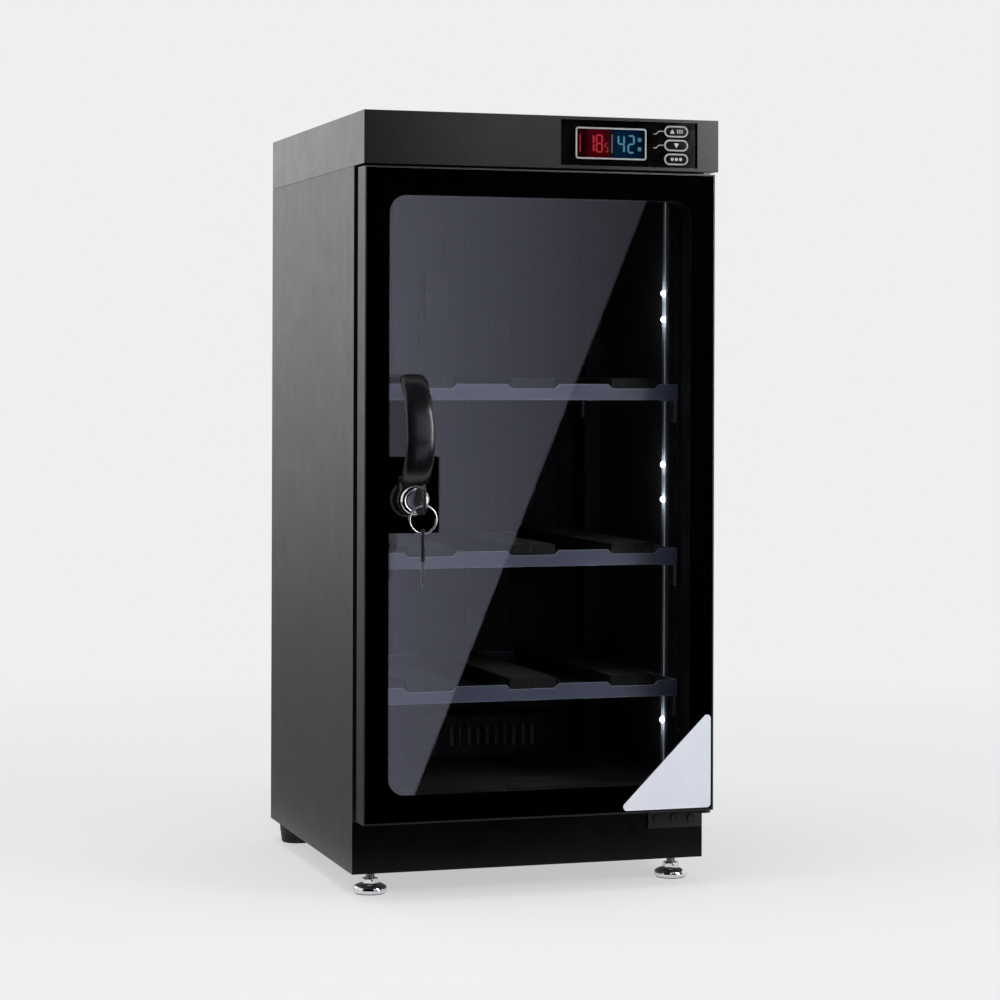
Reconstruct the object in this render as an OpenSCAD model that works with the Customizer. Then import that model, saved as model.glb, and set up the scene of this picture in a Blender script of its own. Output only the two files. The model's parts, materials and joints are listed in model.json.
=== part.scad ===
// Free-standing dry cabinet for cameras and lenses, with a hinged glass door,
// a turning lever handle with a key lock, a control panel with three push buttons,
// three lift-out shelves, an electronic dryer and screw-in levelling feet.
// Millimetres. The front faces -Y, +X is to the right seen from the front, +Z is up.

/* [Cabinet] */
// Width of the cabinet over the side panels.
body_w = 320; // [300:1:400]
// Depth from the front of the door to the back panel.
body_d = 350; // [320:1:420]
// Height of the cabinet without its feet.
body_h = 650; // [640:1:760]
// Height of the top cover.
header_h = 45; // [42:1:60]
// Height of the plinth under the door.
plinth_h = 45; // [38:1:60]
// Height of the feet.
foot_h = 20; // [19:0.5:26]
// Thickness of the sheet steel.
sheet_t = 1.2; // [1:0.1:1.6]
// Height of the chamber floor above the plinth.
floor_rise = 15; // [12:1:20]
// Distance of the chamber ceiling under the top cover.
ceiling_drop = 16; // [14:1:20]
// Width of the upright bars of the front frame.
stile_w = 17; // [17:0.5:22]
// Small gap where one piece is seated on another.
seat_gap = 0.3; // [0.2:0.05:0.4]
// Overrun of every cut past the faces that it opens.
overrun = 1; // [0.5:0.1:2]

/* [Door] */
// Thickness of the door without its seal.
door_t = 24; // [22:0.5:30]
// Distance of the door's left edge from the side of the cabinet.
door_inset_left = 1; // [1:0.5:3]
// Distance of the door's right edge from the side of the cabinet.
door_inset_right = 3; // [2:0.5:4]
// Gap between the door and the top cover.
door_gap_top = 2.2; // [2:0.1:4]
// Gap between the door and the top of the plinth.
door_gap_bottom = 1.7; // [1.6:0.1:4]
// Thickness of the glass pane.
glass_t = 4; // [3:0.5:5]
// Thickness of the dark coat behind the edge of the glass.
coat_t = 0.3; // [0.2:0.05:0.5]
// Width of the dark border at the left and right of the window.
border_w = 22; // [21:0.5:28]
// Height of the dark border above and below the window.
border_h = 24; // [23:0.5:32]
// Corner radius of the window.
window_r = 15; // [8:1:20]
// Thickness of the rim that holds the glass.
rim_t = 1.2; // [1:0.1:1.6]
// Width of the magnetic seal.
seal_w = 9; // [8:0.5:10]
// Thickness of the magnetic seal.
seal_t = 11.7; // [9:0.1:13]
// Distance of the seal from the door's left, upper and lower edges.
seal_inset = 6; // [5:0.5:7]
// Depth of the groove that holds the seal.
seal_groove = 2; // [1.5:0.5:3]
// Leg length of the triangular label at the door's lower corner.
label_leg = 86; // [60:1:100]
// Thickness of the label.
label_t = 0.2; // [0.15:0.05:0.4]
// Corner radius of the label.
label_r = 3.5; // [2:0.5:5]
// Distance of the label from the door's edges.
label_inset = 2.5; // [2:0.5:5]

/* [Hinges] */
// Distance of the hinge line from the door's right edge.
hinge_inset = 6; // [6:0.5:8]
// Diameter of the hinge pins.
hinge_pin_d = 6; // [5:0.5:6]
// Radial clearance of turning and sliding pins.
run_clear = 0.05; // [0.03:0.01:0.1]
// Outer diameter of the hinge bushes.
bush_d = 9; // [8.5:0.5:10]
// Length of the hinge bushes in the door.
bush_l = 18; // [12:1:20]
// Diameter of the collar on each bush.
bush_collar_d = 11; // [10.5:0.5:12]
// Thickness of the collar on each bush.
bush_collar_t = 1; // [0.8:0.1:1.1]
// Thickness of the lower hinge bracket.
bracket_t = 2; // [1.5:0.5:3]
// Width of the lower hinge bracket.
bracket_w = 50; // [50:1:60]
// Height of the bracket's flange on the plinth.
bracket_h = 18; // [16:1:24]
// Distance between the bracket screws.
bracket_pitch = 16; // [15:0.5:16]
// Distance of the outer bracket screw from the side of the cabinet.
bracket_screw_in = 10.5; // [8:0.5:11]
// Diameter of the heads of the bracket screws.
bracket_screw_d = 8; // [6:0.5:9]
// Height of the heads of the bracket screws.
bracket_screw_h = 1.6; // [1.2:0.1:2]

/* [Handle and lock] */
// Distance of the lock from the left side of the cabinet.
lock_s = 38; // [37:0.5:44]
// Height of the lock above the bottom of the cabinet.
lock_z = 321.5; // [300:0.5:345]
// Width of the dark patch behind the lock, from the border.
patch_w = 44; // [40:1:50]
// Height of the dark patch behind the lock.
patch_h = 65; // [60:1:75]
// Distance of the lock above the patch's lower edge.
patch_drop = 29; // [26:1:34]
// Corner radius of the patch.
patch_r = 2.5; // [1:0.5:5]
// Diameter of the round seat under the handle.
lock_seat_d = 30; // [29:1:34]
// Thickness of the round seat under the handle.
lock_seat_t = 3; // [2:0.5:4]
// Outer diameter of the tube through the glass.
lock_tube_d = 18; // [17:0.5:20]
// Length of the tube behind the front of the glass.
lock_tube_l = 26; // [20:1:28]
// Diameter of the handle's spindle.
spindle_d = 12; // [10:0.5:13]
// Width of the lock nut behind the glass over its flats.
lock_nut_w = 26; // [24:1:30]
// Thickness of the lock nut.
lock_nut_t = 5; // [4:0.5:7]
// Diameter of the handle's hub.
hub_d = 28; // [26:0.5:30]
// Depth of the handle's hub.
hub_t = 18.7; // [16:0.1:22]
// Width of the lever.
lever_w = 25; // [22:0.5:27]
// Thickness of the lever.
lever_t = 9; // [8:0.5:11]
// Edge radius of the lever.
lever_r = 4; // [2:0.5:4]
// Radius of the lever's upper arc along its middle.
lever_top_r = 62; // [58:0.5:68]
// Radius of the lever's lower arc along its middle.
lever_low_r = 42; // [40:0.5:46]
// Height above the lock at which the two arcs meet.
lever_arc_up = 52.5; // [50:0.5:56]
// Distance of the lever's middle there in front of the glass.
lever_reach = 43.4; // [40:0.1:46]
// Direction of the lever's tip from the upper arc's centre, in degrees.
lever_tip_a = 128; // [122:1:134]
// Direction of the lever's root from the lower arc's centre, in degrees.
lever_root_a = 237; // [232:1:238]
// Outer diameter of the bright collar round the lock.
collar_d = 25; // [23:0.5:26]
// Depth of the bright collar.
collar_t = 6.5; // [5:0.5:8]
// Diameter of the lock plug.
plug_d = 16; // [14:0.5:18]
// Depth of the lock plug.
plug_t = 20; // [16:1:22]
// Distance of the plug's face behind the collar's face.
plug_sunk = 0.8; // [0.5:0.1:1.5]
// Length of the catch from the spindle's centre.
catch_l = 31; // [28:1:34]
// Width of the catch.
catch_w = 16; // [14:1:18]
// Thickness of the catch.
catch_t = 3; // [2:0.5:4]
// Free space between the catch and the strike plate.
catch_gap = 0.8; // [0.5:0.1:1.5]
// Thickness of the strike plate behind the frame.
strike_t = 1.5; // [1:0.5:2]
// Height of the strike plate.
strike_h = 40; // [30:1:50]
// Diameter of the screw that holds the catch.
catch_screw_d = 9; // [7:0.5:10]
// Thickness of the head of that screw.
catch_screw_t = 2.5; // [2:0.5:3]

/* [Keys] */
// Length of a key's grip.
bow_l = 27; // [24:0.5:30]
// Width of a key's grip.
bow_w = 22; // [18:0.5:24]
// Thickness of a key's grip.
bow_t = 3.2; // [2.6:0.1:4]
// Corner radius of a key's grip.
bow_r = 7; // [4:0.5:9]
// Radius of the hole in a key's grip.
bow_hole_r = 4.5; // [3.5:0.1:5]
// Distance of that hole from the end of the grip.
bow_hole_in = 7; // [6.5:0.1:9]
// Length of a key's blade.
blade_l = 21; // [18:0.5:22]
// Width of a key's blade.
blade_w = 7; // [6:0.5:9]
// Thickness of a key's blade.
blade_t = 1.8; // [1.5:0.1:2.2]
// Depth of the notches in a key's blade.
blade_cut = 1.6; // [1:0.1:2]
// Length of blade that shows between the lock and the grip.
blade_free = 3; // [2:0.5:5]
// Radius of the key ring to the middle of its wire.
ring_r = 11.5; // [10:0.5:14]
// Diameter of the key ring's wire.
ring_wire_d = 2; // [1.6:0.1:2.2]
// Turn of the spare key about the upright line, in degrees.
spare_turn = 15; // [0:1:20]

/* [Control panel] */
// Width of the control panel.
panel_w = 126; // [120:1:132]
// Height of cover left above and below the control panel.
panel_margin = 2.75; // [2.5:0.05:3]
// Distance of the panel from the right side of the cabinet.
panel_right = 19.5; // [16:0.5:24]
// Depth of the panel's face behind the front of the cover.
panel_inset = 2.8; // [2.5:0.1:4]
// Thickness of the panel's face.
panel_t = 2; // [1.5:0.1:3]
// Width of the outline of the display.
display_w = 65; // [55:1:70]
// Height of the outline of the display.
display_h = 27.5; // [24:0.5:30]
// Distance of the display's outline from the panel's left edge.
display_left = 14.4; // [10:0.2:18]
// Width of the printed lines.
line_w = 1.35; // [1:0.05:1.6]
// Thickness of the printed lines.
line_t = 0.2; // [0.15:0.05:0.4]
// Corner radius of the display's outline.
display_r = 2.5; // [1.5:0.5:4]
// Height of the large digits.
digit_h = 16; // [12:0.5:17]
// Width of the large digits.
digit_w = 6.6; // [5:0.2:7]
// Width of the bars of the digits.
digit_bar = 1.5; // [1:0.1:1.8]
// Thickness of the lit bars.
digit_t = 0.4; // [0.3:0.05:0.6]
// Length of an oval button with its outline.
oval_l = 22.3; // [20:0.1:24]
// Height of an oval button with its outline.
oval_h = 10; // [9:0.1:10.4]
// Distance between the buttons.
button_pitch = 12.1; // [11.8:0.1:12.6]
// Distance of the button centres from the panel's right edge.
button_right = 18.9; // [16:0.1:22]
// Height that a button stands out of the panel.
button_out = 0.6; // [0.4:0.1:1.2]
// Travel of a button.
button_travel = 1; // [0.8:0.1:1.2]
// Depth of the collar behind a button.
button_collar_t = 1; // [0.8:0.1:1.2]
// Thickness of the circuit board.
board_t = 1.6; // [1.2:0.1:2]
// Distance of the circuit board behind the panel.
board_back = 5; // [4.6:0.1:6]
// Diameter of the posts that hold the circuit board.
post_d = 4; // [3:0.5:5]

/* [Shelves] */
// Height of the top shelf's edge above the bottom of the cabinet.
shelf_top_z = 419; // [400:1:440]
// Height of the middle shelf's edge above the bottom of the cabinet.
shelf_mid_z = 273; // [255:1:290]
// Height of the lower shelf's edge above the bottom of the cabinet.
shelf_low_z = 156; // [150:1:170]
// Height of a shelf's edge.
shelf_h = 14; // [12:1:18]
// Distance of a shelf's edge behind the front of the door.
shelf_front = 50; // [48:1:60]
// Depth of a shelf.
shelf_d = 280; // [240:1:285]
// Distance of a shelf's ends from the sides of the cabinet.
shelf_side = 18.8; // [18.8:0.2:26]
// Width of a notch in a shelf's edge at its top.
notch_w = 48; // [40:1:56]
// Depth of a notch.
notch_h = 4; // [3:0.5:5]
// Distance between the notches.
notch_pitch = 93.5; // [90:0.5:96]
// Distance of the middle notch from the cabinet's middle.
notch_shift = 6.5; // [0:0.5:8]
// Thickness of the mats between their ridges.
mat_t = 5; // [3:0.5:6]
// Height of a mat's ridges above a shelf's edge.
mat_rise = 5.5; // [3:0.5:7]
// Width of a mat's ridges.
ridge_w = 42; // [36:1:44]
// Depth of the shelf posts.
post_depth = 20; // [16:1:24]
// Height of a slot in a shelf post.
slot_h = 8; // [6:1:10]
// Width of a slot in a shelf post.
slot_w = 4; // [3:0.5:5]
// Distance between the slots in a shelf post.
slot_pitch = 16; // [14:1:22]
// Length of a shelf clip's tongue.
clip_l = 12; // [8:1:16]
// Width of a shelf clip.
clip_w = 10; // [8:1:14]
// Thickness of a shelf clip.
clip_t = 1.6; // [1.2:0.1:1.8]
// Height of a shelf clip's back.
clip_h = 20; // [14:1:22]
// Height of the ridges of the floor mat.
floor_mat_t = 4; // [3:0.5:6]
// Distance between the ridges of the floor mat.
floor_rib_pitch = 12; // [10:1:20]

/* [Lighting and dryer] */
// Width of the light strip's channel.
light_w = 11; // [8:1:14]
// Depth of the light strip's channel from the wall.
light_d = 8; // [6:0.5:10]
// Distance of the light strip behind the front of the door.
light_front = 104; // [80:1:160]
// Diameter of the lamps.
lamp_d = 6; // [4:0.5:7]
// Width of the dryer's case.
dryer_w = 150; // [120:1:180]
// Depth of the dryer's case.
dryer_d = 52; // [44:1:60]
// Height of the dryer's case.
dryer_h = 39; // [34:1:46]
// Distance of the dryer from the right side of the cabinet.
dryer_right = 40; // [36:1:60]
// Wall thickness of the dryer's case.
dryer_wall = 2; // [1.5:0.5:3]
// Width of the air slots.
air_slot_w = 4; // [3.5:0.5:5]
// Distance between the air slots.
air_pitch = 9; // [9:0.5:12]
// Height of the air slots.
air_slot_h = 20; // [14:1:24]
// Thickness of the shutter.
shutter_t = 1.5; // [1:0.1:2]
// Height of the ribs of the back lining.
rib_h = 2.5; // [2:0.5:3]
// Width of the ribs of the back lining.
rib_w = 7; // [5:0.5:10]
// Distance between the ribs of the back lining.
rib_pitch = 24; // [20:1:40]

/* [Rear and feet] */
// Diameter of the heads of the rear screws.
rear_screw_d = 7; // [6:0.5:8]
// Height of the heads of the rear screws.
rear_screw_h = 1.8; // [1.4:0.1:2]
// Inner diameter of the power inlet.
inlet_d = 5.6; // [5.5:0.1:6]
// Diameter of the pin in the power inlet.
inlet_pin_d = 2; // [1.6:0.1:2.5]
// Depth of the power inlet.
inlet_l = 11; // [10:0.5:14]
// Diameter of the front feet's discs.
disc_d = 30; // [26:1:34]
// Height of the front feet's discs.
disc_h = 9; // [7:0.5:9.5]
// Width over the flats of the front feet's hexagons, above their discs.
foot_hex_w = 13; // [11:1:15]
// Height of the front feet's hexagons.
foot_hex_h = 4; // [3:0.5:4]
// Diameter of the front feet's stems.
stem_d = 8; // [6:1:10]
// Length of stem above the bottom of the cabinet.
stem_up = 24; // [20:1:30]
// Width of the front feet's nuts over their flats.
nut_w = 13; // [10:1:17]
// Height of the front feet's nuts.
nut_h = 6; // [5:0.5:6]
// Distance of the front feet from the sides of the cabinet.
foot_side = 21.5; // [20:0.5:40]
// Distance of the front feet behind the plinth's face.
foot_back = 21; // [20:1:40]
// Upper diameter of the rear feet.
rear_foot_d = 35; // [30:1:40]
// Lower diameter of the rear feet.
rear_foot_low_d = 30; // [26:1:34]
// Distance of the rear feet from the back of the cabinet.
rear_foot_gap = 4; // [2:1:20]

/* [Hidden] */
// Smoothness of round faces.
$fn = 64;
// Half of a length.
half = 1 / 2;
// Half of the cabinet's width.
half_w = body_w * half;
// How far the front key stands out in front of the glass.
key_reach = lock_seat_t + seat_gap + hub_t + collar_t - plug_sunk + blade_free + bow_l;
// How far the spare key stands out in front of the ring.
spare_half = (bow_w * cos(spare_turn) + bow_t * sin(spare_turn)) * half;
// How far the whole outline stands out in front of the glass.
front_reach = max(key_reach, key_reach - bow_hole_in + spare_half);
// Position of the front of the glass, which centres the whole outline.
front_y = (front_reach - body_d - rear_screw_h) * half;
// Position of the back panel's outer face.
back_y = front_y + body_d;
// Position of the front frame's face.
frame_y = front_y + door_t + seal_t - seal_groove + seat_gap;
// Position of the front frame's rear face.
inner_y = frame_y + sheet_t;
// Height of the cabinet's bottom.
bottom_z = foot_h;
// Height of the plinth's top.
plinth_z = bottom_z + plinth_h;
// Height of the top of the cabinet.
top_z = bottom_z + body_h;
// Height of the lower edge of the top cover.
cover_z = top_z - header_h;
// Height of the chamber floor.
floor_z = plinth_z + floor_rise;
// Height of the chamber ceiling.
ceiling_z = cover_z - ceiling_drop;
// Left edge of the door.
door_x0 = -half_w + door_inset_left;
// Right edge of the door.
door_x1 = half_w - door_inset_right;
// Lower edge of the door.
door_z0 = plinth_z + door_gap_bottom;
// Upper edge of the door.
door_z1 = cover_z - door_gap_top;
// Rear face of the door.
door_y1 = front_y + door_t;
// Position of the hinge line.
hinge_x = door_x1 - hinge_inset;
// Position of the hinge line in depth.
hinge_y = front_y + door_t * half;
// Rear of the glass.
coat_y = front_y + glass_t;
// Front of the bars of the door's frame.
bar_y = coat_y + coat_t;
// Middle of the door across the cabinet.
door_x = (door_x0 + door_x1) * half;
// Middle height of the door.
door_z = (door_z0 + door_z1) * half;
// Width of the door.
door_w = door_x1 - door_x0;
// Height of the door.
door_h = door_z1 - door_z0;
// Width of the window.
window_w = door_w - border_w * 2;
// Height of the window.
window_h = door_h - border_h * 2;
// Left edge of the window.
window_x0 = door_x0 + border_w;
// Position of the lock.
lock_x = -half_w + lock_s;
// Height of the lock.
lock_h = bottom_z + lock_z;
// Front of the round seat.
seat_y = front_y - lock_seat_t;
// Rear of the handle's hub.
hub_y1 = seat_y - seat_gap;
// Front of the handle's hub.
hub_y0 = hub_y1 - hub_t;
// Front of the bright collar.
collar_y = hub_y0 - collar_t;
// Face of the lock plug.
plug_y = collar_y + plug_sunk;
// Rear of the front key's grip.
bow_y1 = plug_y - blade_free;
// Front of the front key's grip.
bow_y0 = bow_y1 - bow_l;
// Depth position of the key ring.
ring_y = bow_y0 + bow_hole_in;
// Distance between the middle of a grip's hole and the wire.
ring_seat = bow_hole_r - ring_wire_d * half - seat_gap;
// Height of the upper wire of the key ring.
ring_top_z = lock_h - ring_seat;
// Height of the middle of the key ring.
ring_z = ring_top_z - ring_r;
// Height of the lower wire of the key ring.
ring_low_z = ring_z - ring_r;
// Height of the middle of the spare key's hole.
spare_hole_z = ring_low_z - ring_seat;
// Front of the catch.
catch_y = inner_y + strike_t + catch_gap;
// Left edge of the control panel.
panel_x0 = half_w - panel_right - panel_w;
// Right edge of the control panel.
panel_x1 = half_w - panel_right;
// Middle height of the control panel.
panel_z = cover_z + header_h * half;
// Height of the control panel.
panel_h = header_h - panel_margin * 2;
// Width of the rim round the panel.
panel_rim = panel_margin - sheet_t - seat_gap * half;
// Face of the control panel.
panel_y = front_y + panel_inset;
// Rear face of the control panel.
panel_y1 = panel_y + panel_t;
// Front of the circuit board.
board_y = panel_y1 + board_back;
// Middle of the display across the cabinet.
display_x = panel_x0 + display_left + display_w * half;
// Middle of the buttons across the cabinet.
button_x = panel_x1 - button_right;
// Left end of the shelves.
shelf_x0 = -half_w + shelf_side;
// Right end of the shelves.
shelf_x1 = half_w - shelf_side;
// Number of notches that fit along a shelf's edge.
notch_count = floor((shelf_x1 - shelf_x0 - notch_w - notch_shift * 2) / notch_pitch) + 1;
// Front of the shelves.
shelf_y = front_y + shelf_front;
// Inner face of the shelf posts, from the middle.
post_x = half_w - stile_w;
// Front of the front shelf posts.
post_y0 = shelf_y + clip_w * half;
// Front of the rear shelf posts.
post_y1 = shelf_y + shelf_d - clip_w * half - post_depth;
// Bottom of the shelf posts.
post_z0 = floor_z;
// Length of the shelf posts.
post_h = ceiling_z - floor_z;
// Number of slots in each shelf post.
slot_count = floor((post_h - slot_pitch) / slot_pitch);
// Heights of the three shelves' edges.
shelf_zs = [bottom_z + shelf_low_z, bottom_z + shelf_mid_z, bottom_z + shelf_top_z];
// Face of the back lining.
lining_y = back_y - sheet_t - sheet_t - rib_h - seat_gap;
// Left side of the dryer.
dryer_x0 = half_w - dryer_right - dryer_w;
// Right side of the dryer.
dryer_x1 = half_w - dryer_right;
// Front of the dryer.
dryer_y = lining_y - dryer_d;
// Middle of the dryer across the cabinet.
dryer_x = (dryer_x0 + dryer_x1) * half;
// Width of the dryer's grille.
grille_w = dryer_w * 3 / 4;
// Height of the dryer's grille.
grille_h = dryer_h * 3 / 4;
// Middle height of the dryer's grille.
grille_z = floor_z + dryer_h * half;
// Number of air slots.
air_count = floor((grille_w - air_pitch * 2) / air_pitch);
// Heights of the lamps as shares of the chamber's height.
lamp_shares = [0.10, 0.48, 0.54, 0.79, 0.835];
// Depth position of the front feet.
foot_y = frame_y + foot_back;
// Middle of the front feet from the cabinet's middle.
foot_x = half_w - foot_side;
// Depth position of the rear feet.
rear_foot_y = back_y - rear_foot_d * half - rear_foot_gap;
// Middle of the power inlet across the cabinet.
inlet_x = half_w * 2 / 3;
// Height of the power inlet.
inlet_z = bottom_z + plinth_h * half;
// Size of the power inlet's flange.
inlet_flange = inlet_d * 3;

// Node to draw, or all.

// Box between two corners.
module span(x0, x1, y0, y1, z0, z1)
{
    translate([x0, y0, z0])
        cube([x1 - x0, y1 - y0, z1 - z0]);
}

// Flat outline drawn across and up, given a thickness from y0 to y1.
module upright(y0, y1)
{
    translate([0, y1, 0])
        rotate([90, 0, 0])
            linear_extrude(y1 - y0)
                children();
}

// Flat outline drawn along the depth and up, given a thickness across.
module sideways(x0, x1)
{
    translate([x0, 0, 0])
        rotate([90, 0, 90])
            linear_extrude(x1 - x0)
                children();
}

// Rod along the depth.
module rod(x, y0, y1, z, d)
{
    translate([x, y0, z])
        rotate([-90, 0, 0])
            cylinder(h = y1 - y0, d = d);
}

// Rectangle with round corners about its middle.
module rounded(w, h, r)
{
    square([w - r * 2, h], center = true);
    square([w, h - r * 2], center = true);
    for (side = [-1, 1], up = [-1, 1])
        translate([side * (w * half - r), up * (h * half - r)])
            circle(r = r);
}

// Rectangle with fully round ends about its middle.
module oval(w, h)
{
    square([w - h, h], center = true);
    for (side = [-1, 1])
        translate([side * (w - h) * half, 0])
            circle(d = h);
}

// Side panel, on the left with side -1 and on the right with side 1.
module side_sheet(side)
{
    x = side * (half_w - sheet_t * half);
    span(x - sheet_t * half, x + sheet_t * half, inner_y, back_y - sheet_t, bottom_z, cover_z - seat_gap);
}

module side_panel_left()
{
    color("dimgray")
        side_sheet(-1);
}

module side_panel_right()
{
    color("dimgray")
        side_sheet(1);
}

// Back panel with air slots behind the dryer and a hole for the power inlet.
module back_panel()
{
    color("dimgray")
        difference()
        {
            span(-half_w, half_w, back_y - sheet_t, back_y, bottom_z, cover_z - seat_gap);
            dryer_slots(back_y - sheet_t - overrun, back_y + overrun);
            rod(inlet_x, back_y - sheet_t - overrun, back_y + overrun, inlet_z, inlet_d + dryer_wall * 2);
        }
}

// Row of upright air slots in front of and behind the dryer.
module dryer_slots(y0, y1)
{
    for (i = [0 : air_count - 1])
    {
        x = dryer_x + (i - (air_count - 1) * half) * air_pitch;
        z = air_slot_h * half;
        span(x - air_slot_w * half, x + air_slot_w * half, y0, y1, grille_z - z, grille_z + z);
    }
}

// Ribbed inner lining of the back wall.
module back_lining()
{
    lining_x = half_w - sheet_t;
    rib_count = floor((lining_x * 2 - rib_pitch) / rib_pitch);
    y0 = lining_y + rib_h;
    color("slategray")
        difference()
        {
            union()
            {
                span(-lining_x, lining_x, y0, y0 + sheet_t, floor_z, cover_z);
                for (i = [0 : rib_count - 1])
                {
                    x = (i - (rib_count - 1) * half) * rib_pitch;
                    w = rib_w * half;
                    span(x - w, x + w, lining_y, y0 + sheet_t * half, floor_z, cover_z);
                }
            }
            dryer_slots(lining_y - overrun, back_y);
        }
}

// Bottom sheet with holes for the front feet.
module base_pan()
{
    color("dimgray")
        difference()
        {
            span(
                -half_w + sheet_t, half_w - sheet_t,
                inner_y, back_y - sheet_t,
                bottom_z, bottom_z + sheet_t
            );
            for (side = [-1, 1])
                translate([side * foot_x, foot_y, bottom_z - overrun])
                    cylinder(h = sheet_t + overrun * 2, d = stem_d + run_clear * 2);
        }
}

module plinth()
{
    color("black")
        span(-half_w, half_w, frame_y, inner_y, bottom_z, plinth_z);
}

module floor_panel()
{
    color("slategray")
        span(-half_w + sheet_t, half_w - sheet_t, inner_y, back_y - sheet_t, floor_z - sheet_t, floor_z);
}

// Underside of the top cover, with the hole of the upper hinge pin.
module header_floor()
{
    x = half_w - sheet_t;
    color("slategray")
        difference()
        {
            span(-x, x, front_y + sheet_t, back_y - sheet_t, cover_z, cover_z + sheet_t);
            translate([hinge_x, hinge_y, cover_z - overrun])
                cylinder(h = sheet_t + overrun * 2, d = hinge_pin_d);
        }
}

// Deep top cover, open below, with the window of the control panel.
module top_cover()
{
    x = half_w - sheet_t;
    color("dimgray")
        difference()
        {
            span(-half_w, half_w, front_y, back_y, cover_z, top_z);
            span(-x, x, front_y + sheet_t, back_y - sheet_t, cover_z - overrun, top_z - sheet_t);
            span(
                panel_x0, panel_x1,
                front_y - overrun, front_y + sheet_t + overrun,
                panel_z - panel_h * half, panel_z + panel_h * half
            );
        }
}

// Ring of flat bars that the door's seal lies against.
module front_frame()
{
    color("black")
        difference()
        {
            span(-half_w, half_w, frame_y, inner_y, plinth_z, cover_z - seat_gap);
            span(-post_x, post_x, frame_y - overrun, inner_y + overrun, floor_z, ceiling_z);
        }
}

// Plate behind the frame that the catch turns behind.
module lock_strike()
{
    color("silver")
        span(
            -half_w + sheet_t * 2, -post_x - sheet_t,
            inner_y, inner_y + strike_t,
            lock_h - strike_h * half, lock_h + strike_h * half
        );
}

// Slotted upright channel against a side panel.
module shelf_post(side, y)
{
    x0 = post_x;
    x1 = half_w - sheet_t;
    scale([side, 1, 1])
        difference()
        {
            span(x0, x1, y, y + post_depth, post_z0, post_z0 + post_h);
            span(
                x0 + sheet_t, x1 + overrun,
                y + sheet_t, y + post_depth - sheet_t,
                post_z0 - overrun, post_z0 + post_h + overrun
            );
            for (i = [1 : slot_count])
            {
                z = post_z0 + i * slot_pitch;
                y0 = y + (post_depth - slot_w) * half;
                span(x0 - overrun, x0 + sheet_t + overrun, y0, y0 + slot_w, z, z + slot_h);
            }
        }
}

module shelf_posts()
{
    color("black")
        for (side = [-1, 1], y = [post_y0, post_y1])
            shelf_post(side, y);
}

// Angled clips under the ends of the shelves.
module shelf_clips()
{
    color("silver")
        for (side = [-1, 1], y = [post_y0, post_y1], z = shelf_zs)
        {
            z1 = z - shelf_h;
            y0 = y + (post_depth - clip_w) * half;
            scale([side, 1, 1])
                union()
                {
                    span(post_x - clip_l, post_x, y0, y0 + clip_w, z1 - clip_t, z1);
                    span(post_x - clip_t, post_x, y0, y0 + clip_w, z1 - clip_h, z1);
                }
        }
}

// Tray shelf with notches in its front and rear edges.
module shelf(z)
{
    z0 = z - shelf_h;
    color("lightsteelblue")
        difference()
        {
            span(shelf_x0, shelf_x1, shelf_y, shelf_y + shelf_d, z0, z);
            span(
                shelf_x0 + sheet_t, shelf_x1 - sheet_t,
                shelf_y + sheet_t, shelf_y + shelf_d - sheet_t,
                z0 + sheet_t, z + overrun
            );
            upright(shelf_y - overrun, shelf_y + shelf_d + overrun)
                notches(z);
        }
}

// Middle of a notch, counted from the left.
function notch_x(i) =
    notch_shift + (i - (notch_count - 1) * half) * notch_pitch;

// Notches with sloping ends, seen from the front.
module notches(z)
{
    for (i = [0 : notch_count - 1])
        translate([notch_x(i), z])
            polygon([
                [-notch_w * half, overrun],
                [-notch_w * half, 0],
                [-notch_w * half + notch_h, -notch_h],
                [notch_w * half - notch_h, -notch_h],
                [notch_w * half, 0],
                [notch_w * half, overrun],
            ]);
}

module shelf_top()
{
    shelf(shelf_zs[2]);
}

module shelf_middle()
{
    shelf(shelf_zs[1]);
}

module shelf_lower()
{
    shelf(shelf_zs[0]);
}

// Rubber mat with a wide ridge behind each notch.
module shelf_mat(z)
{
    z0 = z - shelf_h + sheet_t;
    x0 = shelf_x0 + sheet_t + seat_gap;
    x1 = shelf_x1 - sheet_t - seat_gap;
    y0 = shelf_y + sheet_t + seat_gap;
    y1 = shelf_y + shelf_d - sheet_t - seat_gap;
    color("darkslategray")
        union()
        {
            span(x0, x1, y0, y1, z0, z0 + mat_t);
            for (i = [0 : notch_count - 1])
            {
                x = notch_x(i);
                span(x - ridge_w * half, x + ridge_w * half, y0, y1, z0 + mat_t * half, z + mat_rise);
            }
        }
}

module shelf_mat_top()
{
    shelf_mat(shelf_zs[2]);
}

module shelf_mat_middle()
{
    shelf_mat(shelf_zs[1]);
}

module shelf_mat_lower()
{
    shelf_mat(shelf_zs[0]);
}

// Mat of low ridges on the chamber floor, in front of the dryer.
module floor_mat()
{
    x = half_w - stile_w - clip_w;
    y0 = shelf_y;
    y1 = dryer_y - clip_w;
    count = floor((y1 - y0) / floor_rib_pitch);
    color("darkslategray")
        union()
        {
            span(-x, x, y0, y1, floor_z, floor_z + floor_mat_t * half);
            for (i = [0 : count - 1])
            {
                y = y0 + i * floor_rib_pitch;
                base = floor_mat_t * half;
                span(-x, x, y, y + floor_rib_pitch * half, floor_z + base * half, floor_z + floor_mat_t);
            }
        }
}

// Upright channel of the light strip on the right wall.
module light_channel()
{
    x1 = half_w - sheet_t;
    y0 = front_y + light_front;
    color("white")
        span(x1 - light_d, x1, y0, y0 + light_w, floor_z, cover_z);
}

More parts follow.
